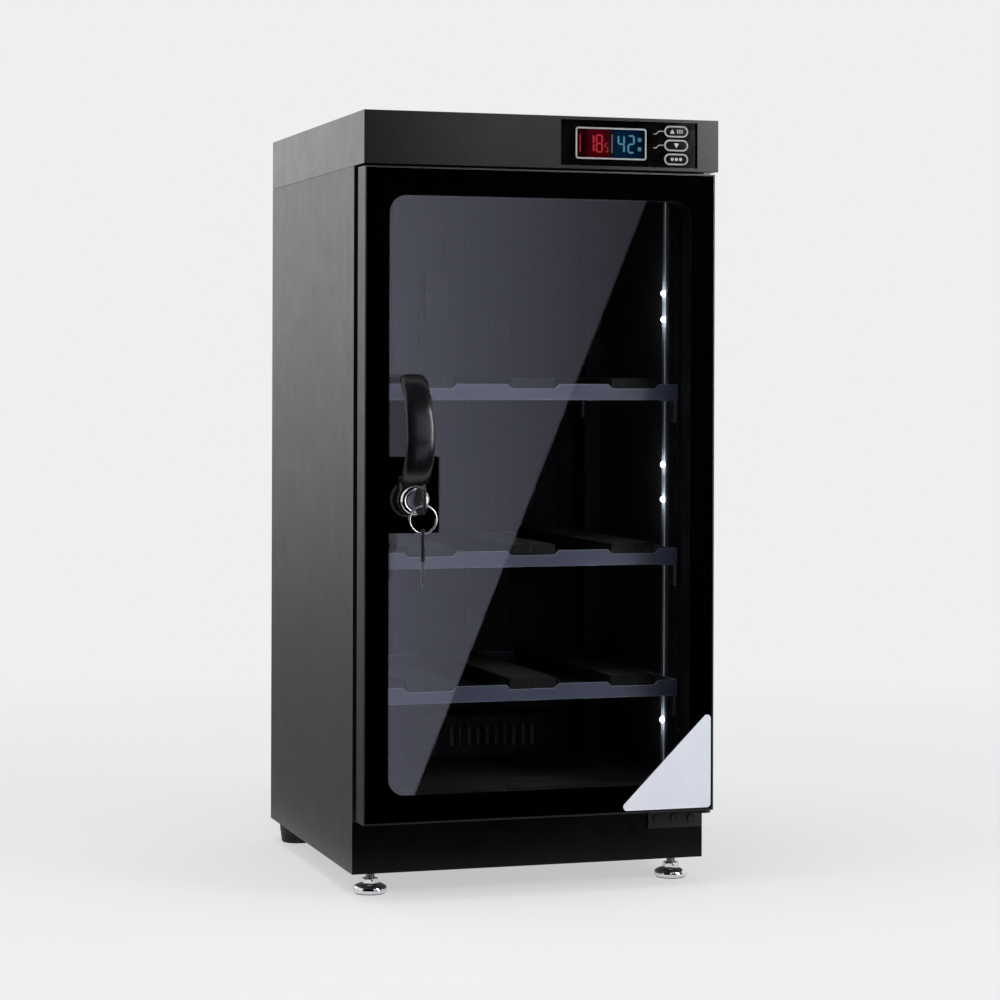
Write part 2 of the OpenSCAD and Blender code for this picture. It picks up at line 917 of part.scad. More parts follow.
// Domed lamps on the light strip.
module light_lamps()
{
    x = half_w - sheet_t - light_d;
    y = front_y + light_front + light_w * half;
    color("white")
        for (share = lamp_shares)
            translate([x, y, floor_z + share * (ceiling_z - floor_z)])
                intersection()
                {
                    sphere(d = lamp_d);
                    span(-lamp_d, 0, -lamp_d, lamp_d, -lamp_d, lamp_d);
                }
}

// Small ventilated sensor case on the back lining.
module humidity_sensor()
{
    w = light_w * 2;
    y0 = lining_y - light_d;
    z = (shelf_zs[2] + ceiling_z) * half;
    color("white")
        difference()
        {
            span(-w * half, w * half, y0, lining_y, z - w, z + w);
            for (i = [-1, 0, 1])
            {
                at = z + i * lamp_d * 2;
                span(-w, w * half * half, y0 - overrun, y0 + overrun, at - overrun, at + overrun);
            }
        }
}

// Case of the dryer, open at the back, with an opening for its grille.
module dryer_case()
{
    z1 = floor_z + dryer_h;
    color("black")
        difference()
        {
            span(dryer_x0, dryer_x1, dryer_y, lining_y, floor_z, z1);
            span(
                dryer_x0 + dryer_wall, dryer_x1 - dryer_wall,
                dryer_y + dryer_wall, lining_y + overrun,
                floor_z + dryer_wall, z1 - dryer_wall
            );
            span(
                dryer_x - grille_w * half, dryer_x + grille_w * half,
                dryer_y - overrun, dryer_y + dryer_wall + overrun,
                grille_z - grille_h * half, grille_z + grille_h * half
            );
        }
}

// Slotted grille in the front of the dryer.
module dryer_grille()
{
    color("gray")
        difference()
        {
            span(
                dryer_x - grille_w * half, dryer_x + grille_w * half,
                dryer_y, dryer_y + dryer_wall,
                grille_z - grille_h * half, grille_z + grille_h * half
            );
            dryer_slots(dryer_y - overrun, dryer_y + dryer_wall + overrun);
        }
}

// Slotted plate that slides behind the grille to open and close its slots.
module dryer_shutter()
{
    y0 = dryer_y + dryer_wall + seat_gap;
    color("silver")
        difference()
        {
            span(
                dryer_x - grille_w * half, dryer_x + grille_w * half,
                y0, y0 + shutter_t,
                floor_z + dryer_wall + seat_gap, floor_z + dryer_h - dryer_wall - seat_gap
            );
            dryer_slots(y0 - overrun, y0 + shutter_t + overrun);
        }
}

// Block of drying material inside the dryer.
module dryer_desiccant()
{
    y0 = dryer_y + dryer_wall * 3 + shutter_t;
    color("white")
        span(
            dryer_x0 + dryer_wall + seat_gap, dryer_x1 - dryer_wall - seat_gap,
            y0, lining_y - dryer_wall,
            floor_z + dryer_wall, floor_z + dryer_h - dryer_wall * 2
        );
}

// Places a flat outline at each of the three buttons, seen from the front.
module at_button(i)
{
    translate([button_x, panel_z + i * button_pitch])
        children();
}

// Sunk face of the control panel with its openings, rim and rear posts.
module panel_face()
{
    w = panel_w + panel_rim * 2;
    h = panel_h + panel_rim * 2;
    color("black")
        union()
        {
            upright(panel_y, panel_y1)
                difference()
                {
                    translate([(panel_x0 + panel_x1) * half, panel_z])
                        square([w, h], center = true);
                    translate([display_x, panel_z])
                        rounded(display_w - line_w * 2, display_h - line_w * 2, display_r - line_w);
                    for (i = [-1, 0, 1])
                        at_button(i)
                            oval(oval_l - line_w * 2, oval_h - line_w * 2);
                }
            upright(front_y + sheet_t, panel_y + panel_t * half)
                translate([(panel_x0 + panel_x1) * half, panel_z])
                    difference()
                    {
                        square([w, h], center = true);
                        square([panel_w, panel_h], center = true);
                    }
            for (side = [-1, 1], up = [-1, 1])
            {
                x = (panel_x0 + panel_x1) * half + side * (panel_w * half - post_d);
                z = panel_z + up * (panel_h * half - post_d);
                rod(x, panel_y + panel_t * half, board_y, z, post_d);
            }
        }
}

// Bent line that leads left from a button.
module lead_line()
{
    x = -oval_l * half;
    points = [
        [x, 0],
        [x - oval_h * half, 0],
        [x - oval_h * 3 / 4, -oval_h / 4],
        [x - oval_h, -oval_h / 4],
    ];
    for (i = [0 : 2])
        hull()
        {
            translate(points[i])
                circle(d = line_w * half, $fn = 12);
            translate(points[i + 1])
                circle(d = line_w * half, $fn = 12);
        }
}

// Raised print on the panel: outlines of the display and the buttons.
module panel_lines()
{
    color("lightgray")
        upright(panel_y - line_t, panel_y)
        {
            translate([display_x, panel_z])
                difference()
                {
                    rounded(display_w, display_h, display_r);
                    rounded(display_w - line_w * 2, display_h - line_w * 2, display_r - line_w);
                }
            for (i = [-1, 0, 1])
                at_button(i)
                    difference()
                    {
                        oval(oval_l, oval_h);
                        oval(oval_l - line_w * 2, oval_h - line_w * 2);
                    }
            for (i = [0, 1])
                at_button(i)
                    lead_line();
        }
}

// Dark clear pane in front of the display.
module display_pane()
{
    color("darkslateblue", 0.4)
        upright(panel_y, panel_y1 - digit_t - run_clear * 2)
            translate([display_x, panel_z])
                rounded(display_w - line_w * 2, display_h - line_w * 2, display_r - line_w);
}

module display_module()
{
    color("black")
        upright(panel_y1, board_y)
            translate([display_x, panel_z])
                square([display_w, display_h], center = true);
}

// One digit of seven bars: top, two upper, middle, two lower and bottom.
module digit(w, h, bar, lit)
{
    dx = (w - bar) * half;
    dz = (h - bar) * half;
    side_dz = dz * half;
    spots = [
        [0, dz], [-dx, side_dz], [dx, side_dz], [0, 0],
        [-dx, -side_dz], [dx, -side_dz], [0, -dz]
    ];
    flat = [1, 0, 0, 1, 0, 0, 1];
    for (i = [0 : 6])
        if (lit[i] == 1)
            translate(spots[i])
                square(flat[i] == 1 ? [w - bar * 2, bar] : [bar, dz - bar], center = true);
}

// Lit bars of the display: two readings with small marks beside them.
module display_digits()
{
    x = display_x;
    s = display_w;
    color("red")
        upright(panel_y1 - digit_t, panel_y1)
        {
            translate([x - s * 0.43, panel_z])
                square([digit_bar * half, digit_h], center = true);
            translate([x - s * 0.28, panel_z])
                digit(digit_w, digit_h, digit_bar, [0, 0, 1, 0, 0, 1, 0]);
            translate([x - s * 0.16, panel_z])
                digit(digit_w, digit_h, digit_bar, [1, 1, 1, 1, 1, 1, 1]);
            translate([x - s * 0.06, panel_z - digit_h * 0.22])
                digit(digit_w * half, digit_h * half, digit_bar * half, [1, 1, 0, 1, 0, 1, 1]);
            translate([x + s * 0.02, panel_z])
                square([digit_bar, digit_h], center = true);
            translate([x + s * 0.15, panel_z])
                digit(digit_w, digit_h, digit_bar, [0, 1, 1, 1, 0, 1, 0]);
            translate([x + s * 0.29, panel_z])
                digit(digit_w, digit_h, digit_bar, [1, 0, 1, 1, 1, 0, 1]);
            for (up = [-1, 1])
                translate([x + s * 0.41, panel_z + up * digit_h / 4])
                    square([digit_w * half, digit_h / 4], center = true);
        }
}

// Circuit board with the three switches behind the buttons.
module circuit_board()
{
    switch_y = panel_y1 + seat_gap * 2 + button_collar_t + button_travel;
    color("darkgreen")
        union()
        {
            upright(board_y, board_y + board_t)
                translate([(panel_x0 + panel_x1) * half, panel_z])
                    square([panel_w, panel_h - panel_margin], center = true);
            for (i = [-1, 0, 1])
                upright(switch_y, board_y + board_t * half)
                    at_button(i)
                        square([oval_h * half, oval_h * half], center = true);
        }
}

// Oval push button with a collar behind the panel.
module button(i)
{
    l = oval_l - line_w * 2 - seat_gap * 2;
    h = oval_h - line_w * 2 - seat_gap * 2;
    color("black")
        union()
        {
            upright(panel_y - button_out, panel_y1 + seat_gap + button_collar_t * half)
                at_button(i)
                    oval(l, h);
            upright(panel_y1 + seat_gap, panel_y1 + seat_gap + button_collar_t)
                at_button(i)
                    oval(oval_l, oval_h);
        }
}

module button_up()
{
    button(1);
}

module button_down()
{
    button(0);
}

module button_set()
{
    button(-1);
}

// Lower hinge bracket on the plinth with its upright pin.
module hinge_bracket()
{
    x1 = half_w - sheet_t;
    x0 = x1 - bracket_w;
    z1 = door_z0 - bush_collar_t - seat_gap;
    arm_x0 = hinge_x * 2 - x1 - bracket_t;
    color("dimgray")
        union()
        {
            span(x0, x1, frame_y - bracket_t, frame_y, z1 - bracket_h, z1);
            span(arm_x0, x1, hinge_y, frame_y, z1 - bracket_t, z1);
            translate([hinge_x, hinge_y, z1 - bracket_t])
                cylinder(h = bracket_t, r = x1 - hinge_x);
            translate([hinge_x, hinge_y, z1 - bracket_t * half])
                cylinder(h = bracket_t * half + seat_gap + bush_l, d = hinge_pin_d);
        }
}

// Upper hinge pin with its head on the underside sheet of the top cover.
module hinge_pin_upper()
{
    z0 = door_z1 + bush_collar_t - bush_l;
    color("silver")
        union()
        {
            translate([hinge_x, hinge_y, z0])
                cylinder(h = cover_z + sheet_t - z0, d = hinge_pin_d);
            translate([hinge_x, hinge_y, cover_z + sheet_t])
                cylinder(h = bracket_t, d = hinge_pin_d * 3 / 2);
        }
}

// Three cross-slotted screws of the lower hinge bracket.
module hinge_screws()
{
    z = door_z0 - bush_collar_t - seat_gap - bracket_t - (bracket_h - bracket_t) * half;
    y1 = frame_y - bracket_t;
    color("silver")
        for (i = [0 : 2])
        {
            x = half_w - bracket_screw_in - i * bracket_pitch;
            difference()
            {
                rod(x, y1 - bracket_screw_h, y1, z, bracket_screw_d);
                upright(y1 - bracket_screw_h - overrun, y1 - bracket_screw_h * half)
                    translate([x, z])
                        cross(bracket_screw_d);
            }
        }
}

// Cross slot of a screw, seen from the front.
module cross(d)
{
    square([d * 0.6, d * 0.14], center = true);
    square([d * 0.14, d * 0.6], center = true);
}

// Screws along the edges of the back panel.
module rear_screws()
{
    x = half_w - foot_side * half;
    z0 = bottom_z + foot_side;
    z1 = cover_z - foot_side;
    color("silver")
        for (side = [-1, 1], z = [z0, (z0 + z1) * half, z1])
            difference()
            {
                rod(side * x, back_y, back_y + rear_screw_h, z, rear_screw_d);
                upright(back_y + rear_screw_h * half, back_y + rear_screw_h + overrun)
                    translate([side * x, z])
                        cross(rear_screw_d);
            }
}

// Round socket for a small power plug, with its contact pin.
module power_inlet()
{
    y0 = back_y - inlet_l;
    tube_d = inlet_d + dryer_wall * 2;
    color("black")
        union()
        {
            difference()
            {
                union()
                {
                    rod(inlet_x, y0, back_y, inlet_z, tube_d);
                    upright(back_y, back_y + rear_screw_h * half)
                        translate([inlet_x, inlet_z])
                            rounded(inlet_flange, inlet_flange, dryer_wall);
                }
                rod(inlet_x, y0 + dryer_wall, back_y + rear_screw_h, inlet_z, inlet_d);
            }
            rod(inlet_x, y0 + dryer_wall * half, back_y - dryer_wall * half, inlet_z, inlet_pin_d);
        }
}

// Threaded nuts over the front feet, on top of the bottom sheet.
module foot_nuts()
{
    color("silver")
        for (side = [-1, 1])
            translate([side * foot_x, foot_y, bottom_z + sheet_t])
                difference()
                {
                    cylinder(h = nut_h, d = nut_w / cos(30), $fn = 6);
                    translate([0, 0, -overrun])
                        cylinder(h = nut_h + overrun * 2, d = stem_d + run_clear * 2);
                }
}

// Two tapered rubber feet at the rear.
module feet_rear()
{
    color("black")
        for (side = [-1, 1])
            translate([side * foot_x, rear_foot_y, 0])
                cylinder(h = bottom_z, d1 = rear_foot_low_d, d2 = rear_foot_d);
}

// Front foot: a domed disc, a hexagon and a stem.
module foot(side)
{
    r = disc_d * half;
    color("silver")
        translate([side * foot_x, foot_y, 0])
            union()
            {
                rotate_extrude()
                    polygon([
                        [0, 0],
                        [r - seat_gap, 0],
                        [r, seat_gap],
                        [r, disc_h * 0.42],
                        [r * 0.96, disc_h * 0.6],
                        [r * 0.84, disc_h * 0.78],
                        [r * 0.68, disc_h * 0.92],
                        [foot_hex_w * half, disc_h],
                        [0, disc_h],
                    ]);
                translate([0, 0, disc_h * 0.6])
                    cylinder(h = foot_hex_h + disc_h * 0.4, d = foot_hex_w / cos(30), $fn = 6);
                cylinder(h = bottom_z + stem_up, d = stem_d);
            }
}

module foot_left()
{
    foot(-1);
}

module foot_right()
{
    foot(1);
}

// Outline of the whole door, seen from the front.
module door_outline(inset)
{
    translate([door_x, door_z])
        square([door_w - inset * 2, door_h - inset * 2], center = true);
}

// Outline of the window, seen from the front.
module window_outline()
{
    translate([door_x, door_z])
        rounded(window_w, window_h, window_r);
}

// Hollow frame of the door with a rim round the glass and a groove for the seal.
module door_frame()
{
    color("dimgray")
        difference()
        {
            upright(front_y, door_y1)
                door_outline(0);
            upright(front_y - overrun, bar_y)
                door_outline(rim_t);
            upright(front_y - overrun, door_y1 + overrun)
                window_outline();
            seal_ring(door_y1 - seal_groove, door_y1 + overrun);
            frame_channel(bar_y - overrun, door_y1 - seal_groove - sheet_t);
            for (z = [door_z0 - overrun, door_z1 - bush_l])
                translate([hinge_x, hinge_y, z])
                    cylinder(h = bush_l + overrun, d = bush_d);
        }
}

// Channel inside the bars of the frame, with solid corners at the hinges.
module frame_channel(y0, y1)
{
    x1 = hinge_x - bush_d;
    upright(y0, y1)
        difference()
        {
            door_outline(rim_t);
            translate([door_x, door_z])
                rounded(window_w + sheet_t * 2, window_h + sheet_t * 2, window_r + sheet_t);
            for (z = [door_z0, door_z1 - border_h])
                translate([x1, z])
                    square([door_x1 - x1, border_h]);
        }
}

// Square ring of the seal, up to the hinge line on the right.
module seal_ring(y0, y1)
{
    x0 = door_x0 + seal_inset;
    x1 = hinge_x;
    z0 = door_z0 + seal_inset;
    z1 = door_z1 - seal_inset;
    difference()
    {
        span(x0, x1, y0, y1, z0, z1);
        span(x0 + seal_w, x1 - seal_w, y0 - overrun, y1 + overrun, z0 + seal_w, z1 - seal_w);
    }
}

module door_seal()
{
    color("black")
        seal_ring(door_y1 - seal_groove, frame_y - seat_gap);
}

module door_glass()
{
    color("lightblue", 0.3)
        difference()
        {
            upright(front_y, coat_y)
                door_outline(rim_t);
            rod(lock_x, front_y - overrun, coat_y + overrun, lock_h, lock_tube_d);
        }
}

// Dark coat on the back of the glass round the window and behind the lock.
module glass_coat()
{
    color("black")
        difference()
        {
            upright(coat_y, bar_y)
                difference()
                {
                    door_outline(rim_t);
                    difference()
                    {
                        window_outline();
                        patch_outline();
                    }
                }
            rod(lock_x, front_y - overrun, bar_y + overrun, lock_h, lock_tube_d);
        }
}

// Outline of the dark patch behind the lock, rounded at its right corners.
module patch_outline()
{
    translate([window_x0 + patch_w * half, lock_h - patch_drop + patch_h * half])
        union()
        {
            rounded(patch_w, patch_h, patch_r);
            translate([-patch_w * half * half - border_w * half, 0])
                square([patch_w * half + border_w, patch_h], center = true);
        }
}

// Bushes that turn on the hinge pins, with collars above and below the door.
module hinge_bushes()
{
    color("white")
        translate([hinge_x, hinge_y, 0])
            difference()
            {
                union()
                {
                    translate([0, 0, door_z0])
                        cylinder(h = bush_l, d = bush_d);
                    translate([0, 0, door_z0 - bush_collar_t])
                        cylinder(h = bush_collar_t, d = bush_collar_d);
                    translate([0, 0, door_z1 - bush_l])
                        cylinder(h = bush_l, d = bush_d);
                    translate([0, 0, door_z1])
                        cylinder(h = bush_collar_t, d = bush_collar_d);
                }
                translate([0, 0, door_z0 - bush_collar_t - overrun])
                    cylinder(h = door_h + bush_collar_t * 2 + overrun * 2, d = hinge_pin_d + run_clear * 2);
            }
}

// Plain triangular label at the door's lower right corner.
module corner_label()
{
    x1 = door_x1 - label_inset;
    z0 = door_z0 + label_inset;
    color("lavender")
        upright(front_y - label_t, front_y)
            offset(r = label_r)
                offset(delta = -label_r)
                    polygon([[x1, z0], [x1, z0 + label_leg], [x1 - label_leg, z0]]);
}

// Round seat and tube of the lock, through the glass.
module lock_body()
{
    color("black")
        difference()
        {
            union()
            {
                rod(lock_x, seat_y, front_y, lock_h, lock_seat_d);
                rod(lock_x, front_y, front_y + lock_tube_l, lock_h, lock_tube_d);
            }
            rod(
                lock_x,
                seat_y - overrun, front_y + lock_tube_l + overrun,
                lock_h, spindle_d + run_clear * 2
            );
        }
}

module lock_nut()
{
    color("silver")
        difference()
        {
            upright(bar_y, bar_y + lock_nut_t)
                translate([lock_x, lock_h])
                    circle(d = lock_nut_w / cos(30), $fn = 6);
            rod(lock_x, bar_y - overrun, bar_y + lock_nut_t + overrun, lock_h, lock_tube_d);
        }
}

// Part of the lever's strap on an arc about (y, z), between two directions.
module lever_arc(y, z, r, a0, a1)
{
    translate([lock_x, y, z])
        rotate([90, 0, 90])
            rotate([0, 0, a0])
                rotate_extrude(angle = a1 - a0, $fn = 128)
                    translate([r, 0])
                        rounded(lever_t, lever_w, lever_r);
}

// Curved lever with its hub, the lock's bore and the spindle through the door.
module handle_lever()
{
    far_y = front_y - lever_reach;
    arc_z = lock_h + lever_arc_up;
    top_y = far_y + lever_top_r;
    low_y = far_y + lever_low_r;
    // The neck reaches one degree into the strap.
    neck_a = lever_root_a - 1;
    in_r = lever_low_r - lever_t * half;
    out_r = lever_low_r + lever_t * half;
    x0 = lock_x - lever_w * half;
    color("black")
        difference()
        {
            union()
            {
                rod(lock_x, hub_y0, hub_y1, lock_h, hub_d);
                rod(lock_x, hub_y1, catch_y + catch_t, lock_h, spindle_d);
                sideways(x0 + lever_r * half, x0 + lever_w - lever_r * half)
                    polygon([
                        [low_y + in_r * cos(neck_a), arc_z + in_r * sin(neck_a)],
                        [low_y + out_r * cos(neck_a), arc_z + out_r * sin(neck_a)],
                        [hub_y0, arc_z + out_r * sin(neck_a)],
                        [hub_y0, lock_h],
                        [hub_y1 - lever_t * half, lock_h],
                        [hub_y1 - lever_t * half, arc_z + in_r * sin(neck_a)],
                    ]);
                lever_arc(top_y, arc_z, lever_top_r, lever_tip_a, 180);
                lever_arc(low_y, arc_z, lever_low_r, 180, lever_root_a);
                // Core that joins the two arcs.
                sideways(x0 + lever_r * half, x0 + lever_w - lever_r * half)
                    translate([far_y, arc_z])
                        square([lever_t * half, lever_t], center = true);
                sideways(x0 + lever_r * half, x0 + lever_w - lever_r * half)
                    translate([
                        top_y + lever_top_r * cos(lever_tip_a),
                        arc_z + lever_top_r * sin(lever_tip_a),
                    ])
                        circle(d = lever_t);
            }
            rod(lock_x, hub_y0 - overrun, plug_y + plug_t + seat_gap, lock_h, plug_d + run_clear * 2);
        }
}

// Catch on the spindle with the screw that holds it.
module handle_catch()
{
    color("silver")
        union()
        {
            difference()
            {
                upright(catch_y, catch_y + catch_t)
                    translate([lock_x, lock_h])
                        union()
                        {
                            circle(d = catch_w * 3 / 2);
                            translate([-catch_w * half, -catch_l])
                                square([catch_w, catch_l]);
                        }
                rod(lock_x, catch_y - overrun, catch_y + catch_t + overrun, lock_h, spindle_d);
            }
            rod(
                lock_x,
                catch_y + catch_t, catch_y + catch_t + catch_screw_t,
                lock_h, spindle_d + catch_screw_d * half
            );
        }
}

// Bright collar on the hub round the lock plug.
module lock_collar()
{
    color("silver")
        difference()
        {
            rod(lock_x, collar_y, hub_y0, lock_h, collar_d);
            rod(lock_x, collar_y - overrun, hub_y0 + overrun, lock_h, plug_d + run_clear * 2);
        }
}

// Lock plug with its keyway.
module lock_plug()
{
    w = blade_t + run_clear * 2;
    h = blade_w + run_clear * 2;
    color("silver")
        difference()
        {
            rod(lock_x, plug_y, plug_y + plug_t, lock_h, plug_d);
            span(
                lock_x - w * half, lock_x + w * half,
                plug_y - overrun, plug_y + blade_l - blade_free + seat_gap,
                lock_h - h * half, lock_h + h * half
            );
        }
}

// Key drawn from the middle of the hole in its grip, with its blade along +Y.
module key_shape()
{
    bow_y = bow_l * half - bow_hole_in;
    blade_y = bow_l - bow_hole_in;
    step = blade_l / 7;
    color("black")
        union()
        {
            sideways(-bow_t * half, bow_t * half)
                difference()
                {
                    translate([bow_y, 0])
                        rounded(bow_l, bow_w, bow_r);
                    circle(r = bow_hole_r);
                }
            sideways(-blade_t * half, blade_t * half)
                difference()
                {
                    translate([blade_y - step, -blade_w * half])
                        square([blade_l + step, blade_w]);
                    for (i = [3 : 6])
                        translate([blade_y + i * step, blade_w * half])
                            rotate(45)
                                square(blade_cut * sqrt(2 + i % 2 - 1), center = true);
                }
        }
}

module front_key()
{
    translate([lock_x, ring_y, lock_h])
        key_shape();
}

module key_ring()
{
    color("silver")
        translate([lock_x, ring_y, ring_z])
            rotate([90, 0, 0])
                rotate_extrude()
                    translate([ring_r, 0])
                        circle(d = ring_wire_d, $fn = 24);
}

module spare_key()
{
    translate([lock_x, ring_y, spare_hole_z])
        rotate([-90, 0, -spare_turn])
            key_shape();
}

side_panel_left();
side_panel_right();
back_panel();
back_lining();
base_pan();
plinth();
floor_panel();
header_floor();
top_cover();
front_frame();
lock_strike();
shelf_posts();
shelf_clips();
shelf_top();
shelf_middle();
shelf_lower();
shelf_mat_top();
shelf_mat_middle();
shelf_mat_lower();
floor_mat();
light_channel();
light_lamps();
humidity_sensor();
dryer_case();
dryer_grille();
dryer_shutter();
dryer_desiccant();
panel_face();
panel_lines();
display_pane();
display_module();
display_digits();
circuit_board();
button_up();
button_down();
button_set();
hinge_bracket();
hinge_pin_upper();
hinge_screws();
rear_screws();
power_inlet();
foot_nuts();
feet_rear();
foot_left();
foot_right();
door_frame();
door_glass();
glass_coat();
door_seal();
hinge_bushes();
corner_label();
lock_body();
lock_nut();
handle_lever();
handle_catch();
lock_collar();
lock_plug();
front_key();
key_ring();
spare_key();
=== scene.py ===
"""Looks of a camera dry cabinet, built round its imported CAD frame.

Pieces are drawn in millimetres and turned into metres by Shape.mesh. The stage,
the camera and the lights are placed in metres.
"""
import json
import math

import bmesh
import bpy
from mathutils import Matrix, Vector

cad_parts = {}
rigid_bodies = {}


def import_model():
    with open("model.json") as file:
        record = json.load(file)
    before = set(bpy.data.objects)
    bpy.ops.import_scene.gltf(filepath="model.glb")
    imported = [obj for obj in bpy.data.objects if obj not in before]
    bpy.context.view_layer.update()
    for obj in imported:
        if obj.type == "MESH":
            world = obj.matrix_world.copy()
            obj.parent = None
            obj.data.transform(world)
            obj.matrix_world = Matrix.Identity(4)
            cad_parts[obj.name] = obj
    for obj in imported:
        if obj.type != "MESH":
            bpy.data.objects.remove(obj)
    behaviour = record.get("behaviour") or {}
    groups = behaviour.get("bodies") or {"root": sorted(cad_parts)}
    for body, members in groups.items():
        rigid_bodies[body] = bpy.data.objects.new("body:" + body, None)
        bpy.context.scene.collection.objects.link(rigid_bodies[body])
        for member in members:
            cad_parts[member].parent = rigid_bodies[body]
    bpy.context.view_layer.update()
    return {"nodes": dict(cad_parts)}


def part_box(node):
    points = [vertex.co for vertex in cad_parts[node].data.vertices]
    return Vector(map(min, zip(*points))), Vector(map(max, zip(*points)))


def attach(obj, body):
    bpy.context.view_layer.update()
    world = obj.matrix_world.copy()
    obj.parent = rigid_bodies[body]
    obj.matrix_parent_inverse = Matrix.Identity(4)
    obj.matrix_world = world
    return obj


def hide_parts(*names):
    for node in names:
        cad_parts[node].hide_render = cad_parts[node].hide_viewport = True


for old in list(bpy.data.objects):
    bpy.data.objects.remove(old)

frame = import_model()
nodes = frame["nodes"]
scene = bpy.context.scene
MM = 0.001
MM_PER_M = 1000
RIGHT_ANGLE = math.pi / 2


def low(node):
    """Lowest corner of a CAD node, in millimetres."""
    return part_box(node)[0] * MM_PER_M


def high(node):
    """Highest corner of a CAD node, in millimetres."""
    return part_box(node)[1] * MM_PER_M


def centre(node):
    """Middle of a CAD node's box, in millimetres."""
    return (low(node) + high(node)) / 2


def added(name, data):
    """A new object in the scene."""
    obj = bpy.data.objects.new(name, data)
    scene.collection.objects.link(obj)
    return obj


def grey(value):
    return (value, value, value)


def shade(colour, factor):
    """The colour made darker or lighter."""
    return tuple(min(1.0, c * factor) for c in colour)


# Materials

finishes = {}


class Tree:
    """The nodes of a material, or of the world, with short calls to add them."""

    def __init__(self, name, world=None):
        self.name = name
        self.owner = world or bpy.data.materials.new(name)
        self.owner.use_nodes = True
        self.tree = self.owner.node_tree
        self.tree.nodes.clear()
        self.out = self.node("ShaderNodeOutputWorld" if world else "ShaderNodeOutputMaterial")
        self.place = self.node("ShaderNodeTexCoord").outputs["Object"]

    def node(self, kind, **settings):
        new = self.tree.nodes.new(kind)
        for key, value in settings.items():
            setattr(new, key, value)
        return new

    def put(self, socket, value):
        """Links an output to the socket, or sets the socket's own value."""
        if isinstance(value, bpy.types.NodeSocket):
            self.tree.links.new(value, socket)
        elif isinstance(value, tuple) and len(value) == 3 and socket.type == "RGBA":
            socket.default_value = (*value, 1)
        else:
            socket.default_value = value

    def fed(self, kind, **inputs):
        """A new node with its inputs set by name, where _ stands for a space."""
        new = self.node(kind)
        for key, value in inputs.items():
            self.put(new.inputs[key.replace("_", " ")], value)
        return new

    def noise(self, scale, detail=3.0, rough=0.5, stretch=None):
        """Cloudy values from the surface's own coordinates, in metres."""
        place = self.place
        if stretch:
            place = self.fed("ShaderNodeMapping", Vector=place, Scale=stretch).outputs["Vector"]
        new = self.fed("ShaderNodeTexNoise", Vector=place, Scale=scale, Detail=detail, Roughness=rough)
        return new.outputs["Fac"]

    def cells(self, scale, output="Distance"):
        return self.fed("ShaderNodeTexVoronoi", Vector=self.place, Scale=scale).outputs[output]

    def axis(self, letter):
        return self.fed("ShaderNodeSeparateXYZ", Vector=self.place).outputs[letter]

    def calc(self, kind, a, b, clamp=False):
        new = self.node("ShaderNodeMath", operation=kind, use_clamp=clamp)
        self.put(new.inputs[0], a)
        self.put(new.inputs[1], b)
        return new.outputs[0]

    def ramp(self, value, *stops):
        """A smooth grey or colour ramp through (place, colour) stops."""
        new = self.node("ShaderNodeValToRGB")
        points = new.color_ramp.elements
        while len(points) < len(stops):
            points.new(0.5)
        for point, (place, colour) in zip(points, stops):
            point.position = place
            colour = grey(colour) if isinstance(colour, (int, float)) else colour
            point.color = (*colour, 1)
        self.put(new.inputs[0], value)
        return new.outputs["Color"]

    def mix(self, share, a, b, blend="MIX"):
        """Colour a at share 0 and colour b at share 1."""
        new = self.node("ShaderNodeMix", data_type="RGBA", blend_type=blend)
        self.put(new.inputs["Factor"], share)
        self.put(new.inputs[6], a)
        self.put(new.inputs[7], b)
        return new.outputs[2]

    def blend(self, share, a, b):
        """Shader a at share 0 and shader b at share 1."""
        new = self.node("ShaderNodeMixShader")
        self.put(new.inputs[0], share)
        self.put(new.inputs[1], a.outputs[0])
        self.put(new.inputs[2], b.outputs[0])
        return new

    def span(self, value, a, b, start=0.0, end=1.0):
        """Runs from a to b while the value runs from start to end."""
        new = self.node("ShaderNodeMapRange")
        for index, v in enumerate((value, start, end, a, b)):
            self.put(new.inputs[index], v)
        return new.outputs[0]

    def bump(self, height, depth):
        """Relief from a height of 0 to 1, depth in millimetres."""
        return self.fed("ShaderNodeBump", Distance=depth * MM, Height=height).outputs["Normal"]

    def edges(self, width=0.8, gain=6.0):
        """1 along sharp edges, 0 elsewhere, broken up by noise; width in millimetres."""
        soft = self.node("ShaderNodeBevel", samples=4)
        self.put(soft.inputs["Radius"], width * MM)
        true = self.node("ShaderNodeNewGeometry")
        dot = self.node("ShaderNodeVectorMath", operation="DOT_PRODUCT")
        self.put(dot.inputs[0], soft.outputs[0])
        self.put(dot.inputs[1], true.outputs["Normal"])
        # This edge mask drives rubbed edges and painted edge highlights alike.
        edge_share = self.calc("SUBTRACT", 1.0, dot.outputs["Value"])
        edge_share = self.calc("MULTIPLY", edge_share, gain)
        return self.calc("MULTIPLY", edge_share, self.noise(160, 4, 0.7), clamp=True)

    def done(self, shader):
        """Shows the shader and keeps the finish under its name."""
        self.put(self.out.inputs["Surface"], shader.outputs[0])
        finishes[self.name] = self.owner

    def skin(self, **inputs):
        """Ends the material in one principled shader."""
        self.done(self.fed("ShaderNodeBsdfPrincipled", **inputs))


# In the next functions, grain and depth are the relief's size in millimetres, and
# the plain numbers are noise scales per metre, detail and roughness.

